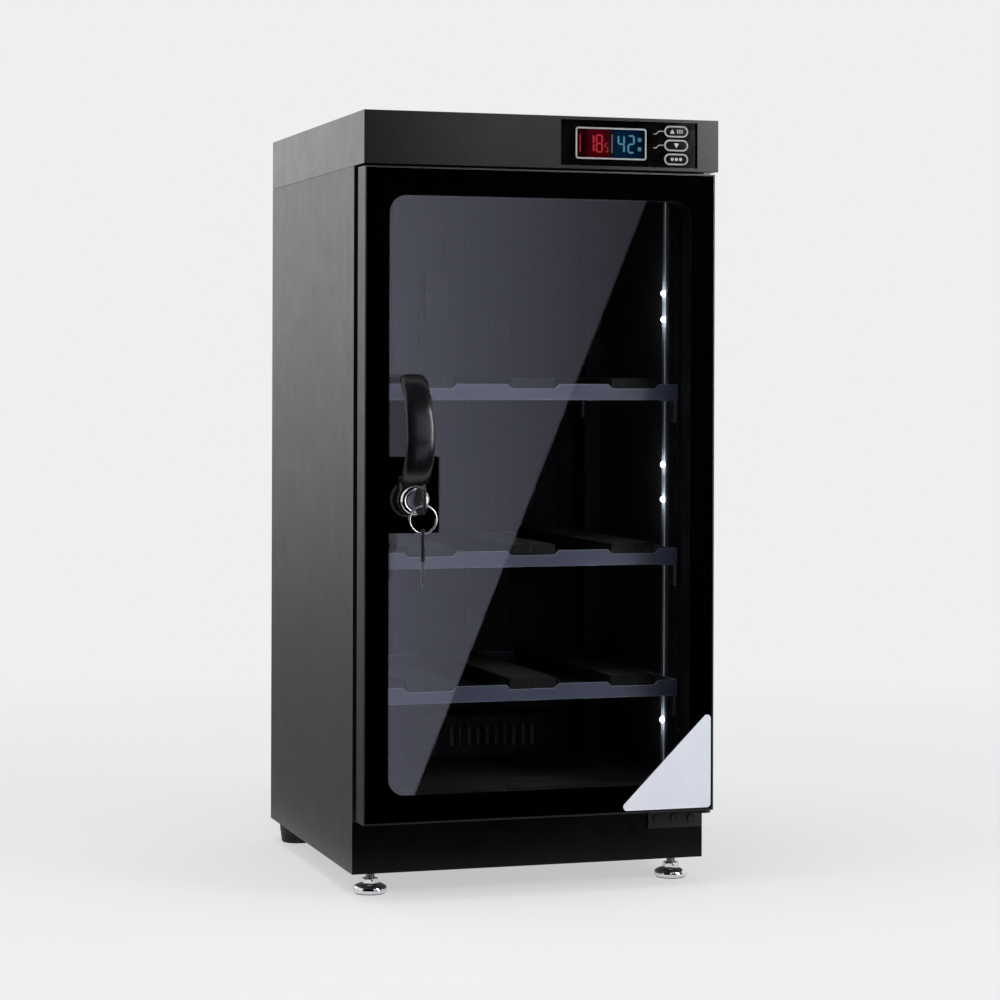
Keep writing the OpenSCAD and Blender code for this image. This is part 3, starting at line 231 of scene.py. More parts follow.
def paint(name, colour, rough=0.4, grain=1.2, depth=0.03, mottle=0.2, edge_wear_and_highlight=0.25, spec=0.5,
          light=grey(0.3)):
    """Powder coat: cloudy tone, fine orange-peel relief, edges lighter: partly rubbed by use, partly a
    painted edge highlight.
    """
    t = Tree(name)
    base = t.mix(t.noise(14, 5, 0.6), shade(colour, 1 - mottle), shade(colour, 1 + mottle))
    speck = t.ramp(t.noise(2.2 * MM_PER_M / grain, 1), (0.6, 0), (0.8, 0.35))
    base = t.mix(speck, base, shade(colour, 2.2))
    # Edges mixed towards the light colour: rubbed by use and also a painted edge highlight.
    base = t.mix(t.calc("MULTIPLY", t.edges(), edge_wear_and_highlight), base, light)
    t.skin(
        Base_Color=base, Roughness=t.span(t.noise(35, 4, 0.65), rough - 0.06, rough + 0.08),
        Normal=t.bump(t.noise(MM_PER_M / grain, 3, 0.6), depth), Specular_IOR_Level=spec)


def metal(name, colour, rough=0.25, brush=(1, 1, 0.05), spangle=0.0, scratch=0.006):
    """Plated or polished metal with smudges, hairlines and faint crystals."""
    t = Tree(name)
    base = t.mix(t.noise(60, 5, 0.65), shade(colour, 0.86), colour)
    if spangle:
        base = t.mix(spangle, base, t.cells(420, "Color"), "MULTIPLY")
    t.skin(
        Base_Color=base, Roughness=t.span(t.noise(130, 4, 0.7), rough * 0.7, rough * 1.4),
        Normal=t.bump(t.noise(900, 3, 0.7, brush), scratch), Metallic=1.0)


def moulded(name, colour, rough=0.5, grain=0.7, depth=0.02, dust=0.12, spec=0.5, edge_wear_and_highlight=0.12):
    """Moulded plastic or rubber: spark-grained skin, dust, and edges lighter: partly handling marks, partly
    a painted edge highlight.
    """
    t = Tree(name)
    base = t.mix(t.noise(25, 4, 0.6), shade(colour, 0.85), shade(colour, 1.15))
    dusty = t.ramp(t.noise(75, 6, 0.75), (0.48, 0), (0.72, dust))
    base = t.mix(dusty, base, (0.35, 0.35, 0.37))
    # Edges mixed towards a pale grey: handling marks and a painted edge highlight.
    base = t.mix(t.calc("MULTIPLY", t.edges(0.6), edge_wear_and_highlight), base, (0.4, 0.4, 0.42))
    t.skin(
        Base_Color=base, Roughness=t.span(t.noise(90, 5, 0.7), rough - 0.07, rough + 0.1),
        Normal=t.bump(t.noise(MM_PER_M / grain, 2, 0.6), depth), Specular_IOR_Level=spec)


def foam(name, colour, line=0.0):
    """Soft closed-cell rubber with open pores whose pits are painted darker (painted shade), a faint sheen
    and, with line, fine ribs.
    """
    t = Tree(name)
    pores = t.cells(700)
    base = t.mix(t.noise(40, 5, 0.65), shade(colour, 0.75), shade(colour, 1.3))
    # The pits in the pores' middles are painted darker: painted shade in the pores.
    base = t.mix(t.ramp(pores, (0.0, 0.6), (0.35, 0)), base, shade(colour, 0.3))
    relief = t.bump(pores, 0.035)
    if line:
        wave = t.node("ShaderNodeTexWave", bands_direction="X", wave_profile="SIN")
        t.put(wave.inputs["Vector"], t.place)
        t.put(wave.inputs["Scale"], line)
        ribs = t.fed("ShaderNodeBump", Distance=0.15 * MM, Height=wave.outputs["Fac"], Normal=relief)
        relief = ribs.outputs["Normal"]
    t.skin(
        Base_Color=base, Roughness=t.span(t.noise(200, 3), 0.7, 0.92), Normal=relief,
        Specular_IOR_Level=0.2, Sheen_Weight=0.02, Sheen_Roughness=0.5)


def clear(name, colour, rough, ior):
    """Clear pane that lamps shine through, with faint wipe marks."""
    t = Tree(name)
    smear = t.span(t.noise(22, 5, 0.7, (1, 1, 0.35)), rough, rough + 0.004)
    glass = t.fed("ShaderNodeBsdfPrincipled", Base_Color=colour, Roughness=smear, IOR=ior,
                  Transmission_Weight=1.0)
    through = t.fed("ShaderNodeBsdfTransparent", Color=colour)
    path = t.node("ShaderNodeLightPath")
    t.done(t.blend(path.outputs["Is Shadow Ray"], glass, through))


def lit(name, colour, power, body=grey(0.02)):
    """A lit part whose light is a little uneven."""
    t = Tree(name)
    t.skin(
        Base_Color=body, Roughness=t.span(t.noise(300), 0.25, 0.4), Specular_IOR_Level=0.1,
        Emission_Color=t.mix(t.noise(500, 2), shade(colour, 0.75), colour),
        Emission_Strength=power, Normal=t.bump(t.noise(1500, 2), 0.01))


def display_ground():
    """Lit ground behind the digits: red on the left, blue on the right."""
    t = Tree("display_ground")
    x0, x1 = low("display_module").x * MM, high("display_module").x * MM
    colour = t.ramp(
        t.span(t.axis("X"), 0.0, 1.0, x0, x1),
        (0.0, (0.004, 0.0, 0.001)), (0.07, (0.14, 0.0, 0.01)), (0.13, (0.01, 0.0, 0.001)),
        (0.22, (0.42, 0.0, 0.014)), (0.44, (0.36, 0.003, 0.014)), (0.52, (0.02, 0.04, 0.05)),
        (0.6, (0.002, 0.1, 0.26)), (0.84, (0.001, 0.07, 0.2)), (1.0, (0.0, 0.01, 0.03)))
    patchy = t.mix(t.noise(260, 3), grey(0.55), grey(1.0))
    t.skin(
        Base_Color=(0.001, 0.001, 0.0015), Roughness=t.span(t.noise(200), 0.3, 0.5),
        Emission_Color=t.mix(1.0, colour, patchy, "MULTIPLY"), Emission_Strength=0.3,
        Specular_IOR_Level=0.03, Normal=t.bump(t.noise(1800, 2), 0.01))


def label_film():
    """Pale satin film with a painted sheen that leaves it paler low down and faintly deeper towards its top,
    and paler along its edge.
    """
    t = Tree("label_film")
    z0, z1 = low("corner_label").z * MM, high("corner_label").z * MM
    # Painted sheen: paler at the bottom, deeper in tone at the top.
    base = t.mix(t.span(t.axis("Z"), 0.0, 1.0, z0, z1), (0.74, 0.76, 0.83), (0.7, 0.73, 0.83))
    cloud = t.ramp(t.noise(24, 4, 0.6), (0.42, 0), (0.66, 0.5))
    base = t.mix(cloud, base, (0.78, 0.8, 0.85))
    base = t.mix(t.calc("MULTIPLY", t.edges(1.6, 3.0), 0.6), base, (0.86, 0.87, 0.9))
    t.skin(
        Base_Color=base, Roughness=t.span(t.noise(70, 4), 0.3, 0.42),
        Coat_Weight=0.3, Coat_Roughness=0.15, Normal=t.bump(t.noise(900, 3), 0.006))


paint("black_coat", (0.019, 0.019, 0.0195), depth=0.02, edge_wear_and_highlight=0.3)
paint("header_coat", (0.004, 0.004, 0.0042), rough=0.27, depth=0.008, edge_wear_and_highlight=0.08, spec=0.21,
      light=grey(0.1))
paint("plinth_coat", (0.0006, 0.0006, 0.0007), rough=0.28, depth=0.006, mottle=0.25, edge_wear_and_highlight=0.1,
      spec=0.2, light=grey(0.08))
paint("frame_coat", (0.006, 0.006, 0.0062), grain=1.0, depth=0.012, edge_wear_and_highlight=0.2, spec=0.4, light=grey(0.12))
paint("bracket_coat", grey(0.004), rough=0.38, grain=1.0, depth=0.015, edge_wear_and_highlight=0.3, spec=0.4,
      light=grey(0.15))
paint("inner_coat", (0.005, 0.005, 0.006), rough=0.45, grain=1.0, depth=0.01)
paint("slate_coat", (0.011, 0.0115, 0.015), rough=0.5, grain=0.8, depth=0.0007, mottle=0.25,
      edge_wear_and_highlight=0.3, spec=0.4, light=(0.1, 0.1, 0.12))
paint("post_coat", (0.009, 0.0095, 0.012), depth=0.01, edge_wear_and_highlight=0.3, spec=0.4, light=(0.1, 0.1, 0.12))
# The shelves' edges are painted much lighter: a painted highlight along the lips' top edges.
paint("shelf_coat", (0.052, 0.055, 0.095), rough=0.32, grain=0.9, depth=0.008, mottle=0.15,
      edge_wear_and_highlight=0.8, spec=0.3, light=(0.5, 0.52, 0.6))

metal("zinc", (0.62, 0.64, 0.66), rough=0.32, spangle=0.25)
metal("chrome", (0.82, 0.82, 0.84), rough=0.08, scratch=0.001)
metal("plug_steel", (0.1, 0.1, 0.115), rough=0.3, brush=(1, 1, 0.04))
metal("satin_chrome", (0.6, 0.6, 0.62), rough=0.24, brush=(1, 1, 0.04))
metal("wire", (0.75, 0.76, 0.78), rough=0.16, scratch=0.003)
metal("key_steel", (0.34, 0.34, 0.35), rough=0.3, brush=(1, 0.05, 0.05))
metal("black_steel", (0.05, 0.05, 0.055), rough=0.35)
metal("aluminium", (0.7, 0.7, 0.72), rough=0.35, brush=(0.05, 1, 1))

moulded("lever_coat", (0.003, 0.0028, 0.0042), rough=0.24, grain=0.6, depth=0.0015, dust=0.01,
        spec=0.55, edge_wear_and_highlight=0.005)
moulded("grip_plastic", (0.005, 0.005, 0.006), rough=0.38, grain=0.5, depth=0.008, dust=0.05)
moulded("case_plastic", (0.008, 0.008, 0.013), rough=0.4, depth=0.012, dust=0.06)
moulded("sensor_plastic", (0.01, 0.01, 0.012), rough=0.4, depth=0.012, dust=0.05)
moulded("nylon", (0.6, 0.59, 0.55), grain=0.6, depth=0.01, dust=0.08)
moulded("panel_gloss", (0.0006, 0.0006, 0.0007), rough=0.07, grain=6.0, depth=0.0003, dust=0.002,
        spec=0.15, edge_wear_and_highlight=0.01)
moulded("button_gloss", (0.0008, 0.0008, 0.0009), rough=0.09, grain=6.0, depth=0.0005, dust=0.003,
        spec=0.2, edge_wear_and_highlight=0.02)
moulded("socket_plastic", grey(0.012), rough=0.45)
moulded("board_green", (0.015, 0.13, 0.05), rough=0.35, grain=1.5, depth=0.03, dust=0.05)
moulded("granules", (0.6, 0.6, 0.57), rough=0.8, grain=2.5, depth=0.6, dust=0.05)
moulded("print_grey", (0.27, 0.27, 0.28), grain=0.5, depth=0.005, dust=0.0)
moulded("sign_grey", (0.42, 0.42, 0.43), grain=0.5, depth=0.005, dust=0.0)
moulded("screen_print", (0.0006, 0.0006, 0.0008), rough=0.1, grain=3.0, depth=0.002, dust=0.0, spec=0.1)
moulded("seal_rubber", (0.008, 0.008, 0.009), rough=0.6, grain=0.6, dust=0.15, spec=0.3)
moulded("foot_rubber", (0.012, 0.012, 0.0125), rough=0.65, depth=0.05, dust=0.1, spec=0.3)
moulded("channel_white", (0.09, 0.092, 0.1), rough=0.4, grain=1.0, depth=0.01, dust=0.05)
foam("mat_rubber", (0.0025, 0.0025, 0.0035), line=60.0)
foam("floor_rubber", (0.005, 0.005, 0.0065))

clear("pane_glass", (0.96, 0.985, 0.975), rough=0.0, ior=1.5)
clear("tinted_pane", (0.5, 0.48, 0.55), rough=0.02, ior=1.48)
lit("lamp_glow", (0.85, 0.93, 1.0), power=7.0, body=(0.8, 0.85, 0.9))
# The feed wire glows though it is no lamp: a painted glow.
lit("wire_glow", (0.8, 0.88, 1.0), power=0.25, body=(0.3, 0.32, 0.36))
lit("red_light", (1.0, 0.05, 0.08), power=0.9)
lit("pale_light", (0.95, 0.62, 0.62), power=0.5)
lit("blue_light", (0.22, 0.78, 1.0), power=0.7)
label_film()
display_ground()


# CAD nodes that keep their shape, by their finish

keeps = {
    "black_coat": "side_panel_left side_panel_right back_panel base_pan",
    "bracket_coat": "hinge_bracket",
    "header_coat": "top_cover",
    "plinth_coat": "plinth",
    "frame_coat": "door_frame",
    "inner_coat": "front_frame",
    "slate_coat": "back_lining floor_panel header_floor",
    "post_coat": "shelf_posts",
    "shelf_coat": "shelf_top shelf_middle shelf_lower",
    "zinc": "lock_strike shelf_clips foot_nuts rear_screws lock_nut handle_catch",
    "black_steel": "hinge_screws",
    "satin_chrome": "hinge_pin_upper",
    "sensor_plastic": "humidity_sensor",
    "case_plastic": "dryer_case dryer_grille lock_body",
    "aluminium": "dryer_shutter",
    "granules": "dryer_desiccant",
    "panel_gloss": "panel_face",
    "display_ground": "display_module",
    "print_grey": "panel_lines",
    "tinted_pane": "display_pane",
    "board_green": "circuit_board",
    "button_gloss": "button_up button_down button_set",
    "socket_plastic": "power_inlet",
    "pane_glass": "door_glass",
    "screen_print": "glass_coat",
    "nylon": "hinge_bushes",
    "label_film": "corner_label",
}
for finish, names in keeps.items():
    for name in names.split():
        nodes[name].material_slots[0].material = finishes[finish]


def soften(name, width):
    """Rounds a CAD node's sharp edges as a folded sheet or a moulding has them."""
    bevel = nodes[name].modifiers.new("soft_edges", "BEVEL")
    bevel.width = width * MM
    bevel.segments = 2
    bevel.limit_method = "ANGLE"
    bevel.angle_limit = math.radians(50)
    bevel.harden_normals = True


for width, names in (
        (0.25, "button_up button_down button_set"),
        (0.3, "top_cover side_panel_left side_panel_right"),
        (0.4, "plinth front_frame door_glass back_lining"),
        (0.5, "door_frame shelf_top shelf_middle shelf_lower"),
        (0.5, "hinge_bracket lock_body lock_nut handle_catch"),
        (0.8, "humidity_sensor"),
        (0.9, "dryer_case")):
    for name in names.split():
        soften(name, width)


# Outlines

def oval(half_u, half_v, steps):
    """Points (u, v) round an oval about the origin."""
    angles = [math.tau * k / steps for k in range(steps)]
    return [(half_u * math.cos(a), half_v * math.sin(a)) for a in angles]


def bend(steps):
    """Sine and cosine of the angles from 0 to 90 degrees."""
    angles = [RIGHT_ANGLE * k / steps for k in range(steps + 1)]
    return [(math.sin(a), math.cos(a)) for a in angles]


def inset(outline, gap):
    """The outline moved inwards by gap, for smooth or convex outlines."""
    area = sum(a[0] * b[1] - b[0] * a[1] for a, b in zip(outline, outline[1:] + outline[:1]))
    side = 1 if area > 0 else -1
    narrowest = 0.4
    result = []
    for i, here in enumerate(outline):
        before = Vector(outline[i - 1])
        after = Vector(outline[(i + 1) % len(outline)])
        one = (Vector(here) - before).normalized()
        two = (after - Vector(here)).normalized()
        n1 = Vector((-one.y, one.x)) * side
        n2 = Vector((-two.y, two.x)) * side
        middle = (n1 + n2).normalized()
        reach = gap / max(narrowest, middle.dot(n1))
        result.append(tuple(Vector(here) + middle * reach))
    return result


def round_box(width, height, radius, steps, middle):
    """Outline of a rectangle with round corners."""
    points = []
    for i, (sx, sz) in enumerate(((1, 1), (-1, 1), (-1, -1), (1, -1))):
        cx = middle[0] + sx * (width / 2 - radius)
        cz = middle[1] + sz * (height / 2 - radius)
        for k in range(steps + 1):
            a = RIGHT_ANGLE * (i + k / steps)
            points.append((cx + radius * math.cos(a), cz + radius * math.sin(a)))
    return points


def sweep(path, section):
    """Rings of a section (side, up) carried along a path of points."""
    rings = []
    final = len(path) - 1
    for i, point in enumerate(path):
        way = (Vector(path[min(i + 1, final)]) - Vector(path[max(i - 1, 0)])).normalized()
        side = Vector((1, 0, 0)) if abs(way.x) < 0.9 else Vector((0, 1, 0))
        side = (side - way * side.dot(way)).normalized()
        up = way.cross(side)
        rings.append([Vector(point) + side * u + up * v for u, v in section])
    return rings


# Piece building

class Shape:
    """Faces gathered in millimetres, with a material number for each."""

    def __init__(self):
        self.verts = []
        self.faces = []
        self.marks = []

    def face(self, corners, mark):
        self.faces.append(tuple(corners))
        self.marks.append(mark)

    def loft(self, rings, mark=0, closed=False):
        """Skins a row of rings that have as many points each, and caps an open row."""
        start = len(self.verts)
        count = len(rings[0])
        for ring in rings:
            self.verts += [tuple(p) for p in ring]
        rows = len(rings)
        for i in range(rows if closed else rows - 1):
            a = start + i * count
            b = start + (i + 1) % rows * count
            for k in range(count):
                m = (k + 1) % count
                self.face((a + k, a + m, b + m, b + k), mark)
        if not closed:
            self.face([start + k for k in range(count)], mark)
            self.face([start + (rows - 1) * count + k for k in range(count)], mark)

    def lathe(self, profile, middle, axis, mark=0, steps=64):
        """Turns (radius, distance) points about an axis through middle."""
        x, y, z = middle
        rings = []
        for radius, along in profile:
            ring = []
            for u, v in oval(radius, radius, steps):
                ring.append({
                    "x": (x + along, y + u, z + v),
                    "y": (x + u, y + along, z + v),
                    "z": (x + u, y + v, z + along)}[axis])
            rings.append(ring)
        self.loft(rings, mark)

    def slices(self, stations, mark=0):
        """Skins (outline, y) stations whose outlines hold (x, z) points."""
        self.loft([[(x, y, z) for x, z in outline] for outline, y in stations], mark)

    def plate(self, outline, y0, y1, mark=0):
        """A flat piece of an (x, z) outline from y0 in front to y1 behind."""
        self.slices(((outline, y0), (outline, y1)), mark)

    def block(self, a, b, edge):
        """A block from corner a to corner b with chamfered edges."""
        outline = [(a[0], a[2]), (b[0], a[2]), (b[0], b[2]), (a[0], b[2])]
        small = [(a[0] + edge, a[2] + edge), (b[0] - edge, a[2] + edge),
                 (b[0] - edge, b[2] - edge), (a[0] + edge, b[2] - edge)]
        self.slices(((small, a[1]), (outline, a[1] + edge), (outline, b[1] - edge), (small, b[1])))

    def mesh(self, name, sharp):
        """The gathered faces as a mesh, smooth apart from edges over sharp degrees."""
        same_place = 1e-6
        work = bmesh.new()
        made = [work.verts.new(Vector(p) * MM) for p in self.verts]
        for corners, mark in zip(self.faces, self.marks):
            new = work.faces.new([made[c] for c in corners])
            new.material_index = mark
        bmesh.ops.remove_doubles(work, verts=work.verts, dist=same_place)
        bmesh.ops.recalc_face_normals(work, faces=work.faces)
        mesh = bpy.data.meshes.new(name)
        work.to_mesh(mesh)
        work.free()
        mesh.shade_smooth()
        mesh.set_sharp_from_angle(angle=math.radians(sharp))
        return mesh

    def piece(self, name, body, finish_names, *stands_for, sharp=40):
        """Makes the object, lets it ride on its body and hides what it replaces."""
        obj = added(name, self.mesh(name, sharp))
        for finish in finish_names:
            obj.data.materials.append(finishes[finish])
        if stands_for:
            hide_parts(*stands_for)
        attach(obj, body)
        return obj


# Handle, lock and keys

lock_x, lock_z = -122.0, 341.5
arcs_z = lock_z + 52.5
hub_front, hub_rear = high("lock_collar").y, -148.33


def lever_path():
    """The middle line of the lever: a tighter arc below, a wider one above."""
    crown_y = -188.43
    arcs = ((42.0, 240, 182, 16), (62.0, 180, 128, 24))
    path = []
    for radius, first, last, steps in arcs:
        for k in range(steps + 1):
            a = math.radians(first + (last - first) * k / steps)
            y = crown_y + radius + radius * math.cos(a)
            path.append((lock_x, y, arcs_z + radius * math.sin(a)))
    return path


def strap_section(half_wide, half_deep):
    """A section between an oval and a rectangle."""
    side_power, face_power, steps = 0.6, 0.75, 40
    section = []
    for u, v in oval(1, 1, steps):
        u = math.copysign(abs(u) ** side_power, u)
        v = math.copysign(abs(v) ** face_power, v)
        section.append((half_wide * u, half_deep * v))
    return section


def lever_piece():
    """Cast lever: a crowned strap on two arcs, run into its round hub."""
    half_wide, less_wide, half_deep, less_deep, taper_height = 12.6, 0.9, 4.5, 0.4, 48
    path = lever_path()
    shaped = []
    for i, point in enumerate(path):
        share = max(0.0, min(1.0, (point[2] - arcs_z) / taper_height))
        section = strap_section(half_wide - less_wide * share * share, half_deep - less_deep * share)
        three = [path[max(i - 1, 0)], point, path[min(i + 1, len(path) - 1)]]
        shaped.append(sweep(three, section)[1])
    tip_rows, tip_turn, tip_length, tip_size = 6, 6.4, 4.4, 0.3
    last = shaped[-1]
    middle = sum(last, Vector()) / len(last)
    way = (Vector(path[-1]) - Vector(path[-2])).normalized()
    for k in range(1, tip_rows + 1):
        a = RIGHT_ANGLE * k / tip_turn
        size = tip_size + (1 - tip_size) * math.cos(a)
        ahead = way * tip_length * math.sin(a)
        shaped.append([middle + (p - middle) * size + ahead for p in last])
    shape = Shape()
    shape.loft(shaped)
    root_half, root_front, root_rear = 11.6, -166.8, hub_rear - 4.5
    root_top, root_edge = lock_z + 20.5, 2.5
    shape.block((lock_x - root_half, root_front, lock_z), (lock_x + root_half, root_rear, root_top),
                root_edge)
    hub = ((11.5, hub_rear), (13.6, hub_rear - 0.5), (14.0, hub_rear - 1.4),
           (14.0, hub_front + 1.8), (13.4, hub_front + 0.5), (12.6, hub_front))
    shape.lathe(hub, (lock_x, 0, lock_z), "y")
    solid = shape.piece("handle_lever_cast", "handle", ["lever_coat"], "handle_lever")
    remesh = solid.modifiers.new("one_casting", "REMESH")
    remesh.mode = "VOXEL"
    remesh.voxel_size = 0.6 * MM
    remesh.use_smooth_shade = True
    fillet = solid.modifiers.new("fillet", "SMOOTH")
    fillet.factor = 0.5
    fillet.iterations = 6


def spindle_piece():
    """Turned spindle between the hub and the catch."""
    spindle = ((5.4, hub_rear - 2), (5.95, hub_rear + 0.5), (5.95, -106), (5.2, -104.6))
    shape = Shape()
    shape.lathe(spindle, (lock_x, 0, lock_z), "y")
    shape.piece("handle_spindle", "handle", ["satin_chrome"])


def collar_piece():
    """Bright collar: open ring with a rounded shoulder and a dished face."""
    front = low("lock_collar").y
    steps = 96
    profile = ((8.15, hub_front - 0.1), (12.5, hub_front - 0.05), (12.5, front + 3.0),
               (12.3, front + 2.2), (11.8, front + 1.4), (11.0, front + 0.6), (10.1, front + 0.1),
               (9.3, front), (8.6, front + 0.25), (8.2, front + 0.9))
    rings = [[(lock_x + u, y, lock_z + v) for u, v in oval(r, r, steps)] for r, y in profile]
    shape = Shape()
    shape.loft(rings, closed=True)
    shape.piece("lock_collar_dished", "handle", ["chrome"], "lock_collar", sharp=50)


def plug_piece():
    """Turning plug with a raised rim; its keyway is a dark plate on the face, painted shade where the slot
    opens.
    """
    face = low("lock_plug").y
    profile = ((7.9, face + 8), (7.95, face + 0.5), (7.7, face + 0.1), (6.9, face),
               (6.6, face + 0.5), (6.2, face + 0.6))
    shape = Shape()
    shape.lathe(profile, (lock_x, 0, lock_z), "y", steps=72)
    # The keyway is a dark plate, not an opening: painted shade in the slot.
    slot_wide, slot_tall, slot_corner = 2.6, 8.4, 1.2
    slot = round_box(slot_wide, slot_tall, slot_corner, 4, (lock_x, lock_z))
    shape.plate(slot, face + 0.35, face + 0.9, 1)
    shape.piece("lock_plug_face", "lock", ["plug_steel", "black_steel"], "lock_plug")


def key_grip(shape, place, long, reach):
    """Moulded grip with a raised rim round its edge and round its hole."""
    wide, thick, corner, hole, steps = 22.0, 3.2, 7.0, 4.5, 72
    edge = round_box(long, wide, corner, 24, (long / 2 - reach, 0))
    half = thick / 2

    def turned(point, angle):
        """How far the point's direction is from the angle."""
        return abs(math.remainder(math.atan2(point[1], point[0]) - angle, math.tau))

    def outer(gap, x):
        """A ring on the grip's outline, moved inwards by gap."""
        line = inset(edge, gap)
        angles = [math.tau * k / steps for k in range(steps)]
        return [(x, *min(line, key=lambda p: turned(p, a))) for a in angles]

    def inner(radius, x):
        return [(x, u, v) for u, v in oval(radius, radius, steps)]

    rim = ((0, 1.0), (0.35, 0.3), (1.0, 0.0), (2.0, 0.0), (2.5, 0.45))
    eye = ((hole + 1.8, 0.45), (hole + 1.3, 0.0), (hole + 0.5, 0.0), (hole, 0.4))
    rings = [outer(0, 0)]
    rings += [outer(gap, half - sunk) for gap, sunk in rim]
    rings += [inner(radius, half - sunk) for radius, sunk in eye]
    rings += [inner(radius, sunk - half) for radius, sunk in reversed(eye)]
    rings += [outer(gap, sunk - half) for gap, sunk in reversed(rim)]
    shape.loft([[place @ Vector(p) for p in ring] for ring in rings], closed=True)


def key_blade(shape, place, start, end):
    """Steel blade with a groove along each side, cut notches and a pointed tip."""
    tall, tip_long, tip_slope, flat, rows = 3.4, 3.0, 0.75, 0.25, 90
    cuts = ((start + 9.5, 1.4), (start + 12.5, 2.1), (start + 15.5, 1.1), (start + 18.4, 1.9))
    # w is half the blade's thickness, g its grooves' depth and c its chamfer.
    w, g, c = 0.9, 0.35, 0.3
    blade = []
    for k in range(rows + 1):
        y = start + (end - start) * k / rows
        cut = max([0.0] + [deep + flat - abs(y - at) for at, deep in cuts])
        tip = max(0.0, y - (end - tip_long)) * tip_slope
        top, bottom = min(tall - cut, tall - tip), tip - tall
        line = ((w, bottom + c), (w, -1.6), (w - g, -1.3), (w - g, -0.1), (w, 0.2), (w, top - c),
                (w - c, top), (c - w, top), (-w, top - c), (-w, -0.4), (g - w, -0.7),
                (g - w, -1.9), (-w, -2.2), (-w, bottom + c), (c - w, bottom), (w - c, bottom))
        blade.append([place @ Vector((x, y, z)) for x, z in line])
    shape.loft(blade, 1)


def key_piece(name, body, place):
    """A key with its grip's hole at the origin, pointing along +Y, moved by place."""
    grip_long, reach, blade_long = 27.0, 7.0, 21.0
    shape = Shape()
    key_grip(shape, place, grip_long, reach)
    key_blade(shape, place, grip_long - reach - 0.5, grip_long - reach + blade_long)
    shape.piece(name + "_grip", body, ["grip_plastic", "key_steel"], name, sharp=30)


def keys():
    """The key in the lock and the spare key that hangs from the ring."""
    hole_y = low("key_ring").y + 1.0
    hang_z = high("spare_key").z - 7.0
    key_piece("front_key", "lock", Matrix.Translation((lock_x, hole_y, lock_z)))
    turn = Matrix.Rotation(math.radians(-15), 4, "Z") @ Matrix.Rotation(math.radians(-90), 4, "X")
    key_piece("spare_key", "spare_key", Matrix.Translation((lock_x, hole_y, hang_z)) @ turn)


def split_ring():
    """Key ring of flat wire in two turns, which cross over halfway."""
    radius, apart, first, steps = 11.5, 0.94, math.radians(200), 192
    cross_start, cross_long = 0.46, 0.08
    section = oval(0.44, 0.85, 14)
    middle = centre("key_ring")
    rings = []
    for k in range(steps + 1):
        a = math.tau * 2 * k / steps + first
        step = max(0.0, min(1.0, (k / steps - cross_start) / cross_long))
        y = -apart / 2 + apart * step * step * (3 - 2 * step)
        point = Vector((middle.x + radius * math.cos(a), middle.y + y, middle.z + radius * math.sin(a)))
        out = (point - Vector((middle.x, point.y, middle.z))).normalized()
        rings.append([point + Vector((0, 1, 0)) * u + out * v for u, v in section])
    shape = Shape()
    shape.loft(rings)
    shape.piece("key_ring_split", "key_ring", ["wire"], "key_ring")


lever_piece()
spindle_piece()
collar_piece()
plug_piece()
keys()
split_ring()

# The photograph shows no mirror image of the handle in the door's glass.
for name in ("handle_lever_cast", "lock_collar_dished", "lock_plug_face",
             "front_key_grip", "spare_key_grip", "key_ring_split"):
    bpy.data.objects[name].visible_glossy = False


# Door trim

def seal_piece():
    """Magnetic seal: arrow foot in its groove, bellows and a soft magnet strip."""
    wide = 9.0
    a, b = low("door_seal"), high("door_seal")
    front, rear = a.y, b.y
    inner_side = [
        (5.8, front), (6.4, front + 1.4), (5.6, front + 2.2), (8.6, front + 2.4),
        (9.0, front + 3.2), (7.8, front + 3.9), (7.3, front + 4.9), (8.5, front + 5.8),
        (7.2, front + 6.8), (8.7, rear - 4.2), (9.0, rear - 3.4), (9.0, rear - 0.8),
        (8.4, rear - 0.1)]
    outer_side = [(wide - across, y) for across, y in reversed(inner_side)]
    section = inner_side + [(wide / 2, rear)] + outer_side
    rings = []
    for x, z, sx, sz in ((a.x, a.z, 1, 1), (b.x, a.z, -1, 1), (b.x, b.z, -1, -1), (a.x, b.z, 1, -1)):
        rings.append([(x + sx * across, y, z + sz * across) for across, y in section])
    shape = Shape()
    shape.loft(rings, closed=True)
    shape.piece("door_seal_bellows", "door", ["seal_rubber"], "door_seal", sharp=30)


seal_piece()


# Mats

def bumpy_row(x0, x1, floor_z, base, crest, spans):
    """Outline of a mat: flat with raised, rounded spans, closed along its bottom."""
    foot, top = 1.2, 1.6
    points = [(x0 + 0.6, floor_z), (x0, floor_z + 0.6), (x0, base - 1.0),
              (x0 + 0.3, base - 0.3), (x0 + 1.0, base)]
    for a, b in spans:
        points += [(a - foot + foot * s, base + foot - foot * c) for s, c in bend(4)]
        points += [(a + top - top * c, crest - top + top * s) for s, c in bend(5)]
        points.append(((a + b) / 2, crest))
        points += [(b - top + top * s, crest - top + top * c) for s, c in bend(5)]
        points += [(b + foot - foot * c, base + foot - foot * s) for s, c in bend(4)]
    points += [(x1 - 1.0, base), (x1 - 0.3, base - 0.3), (x1, base - 1.0),
               (x1, floor_z + 0.6), (x1 - 0.6, floor_z)]
    return points


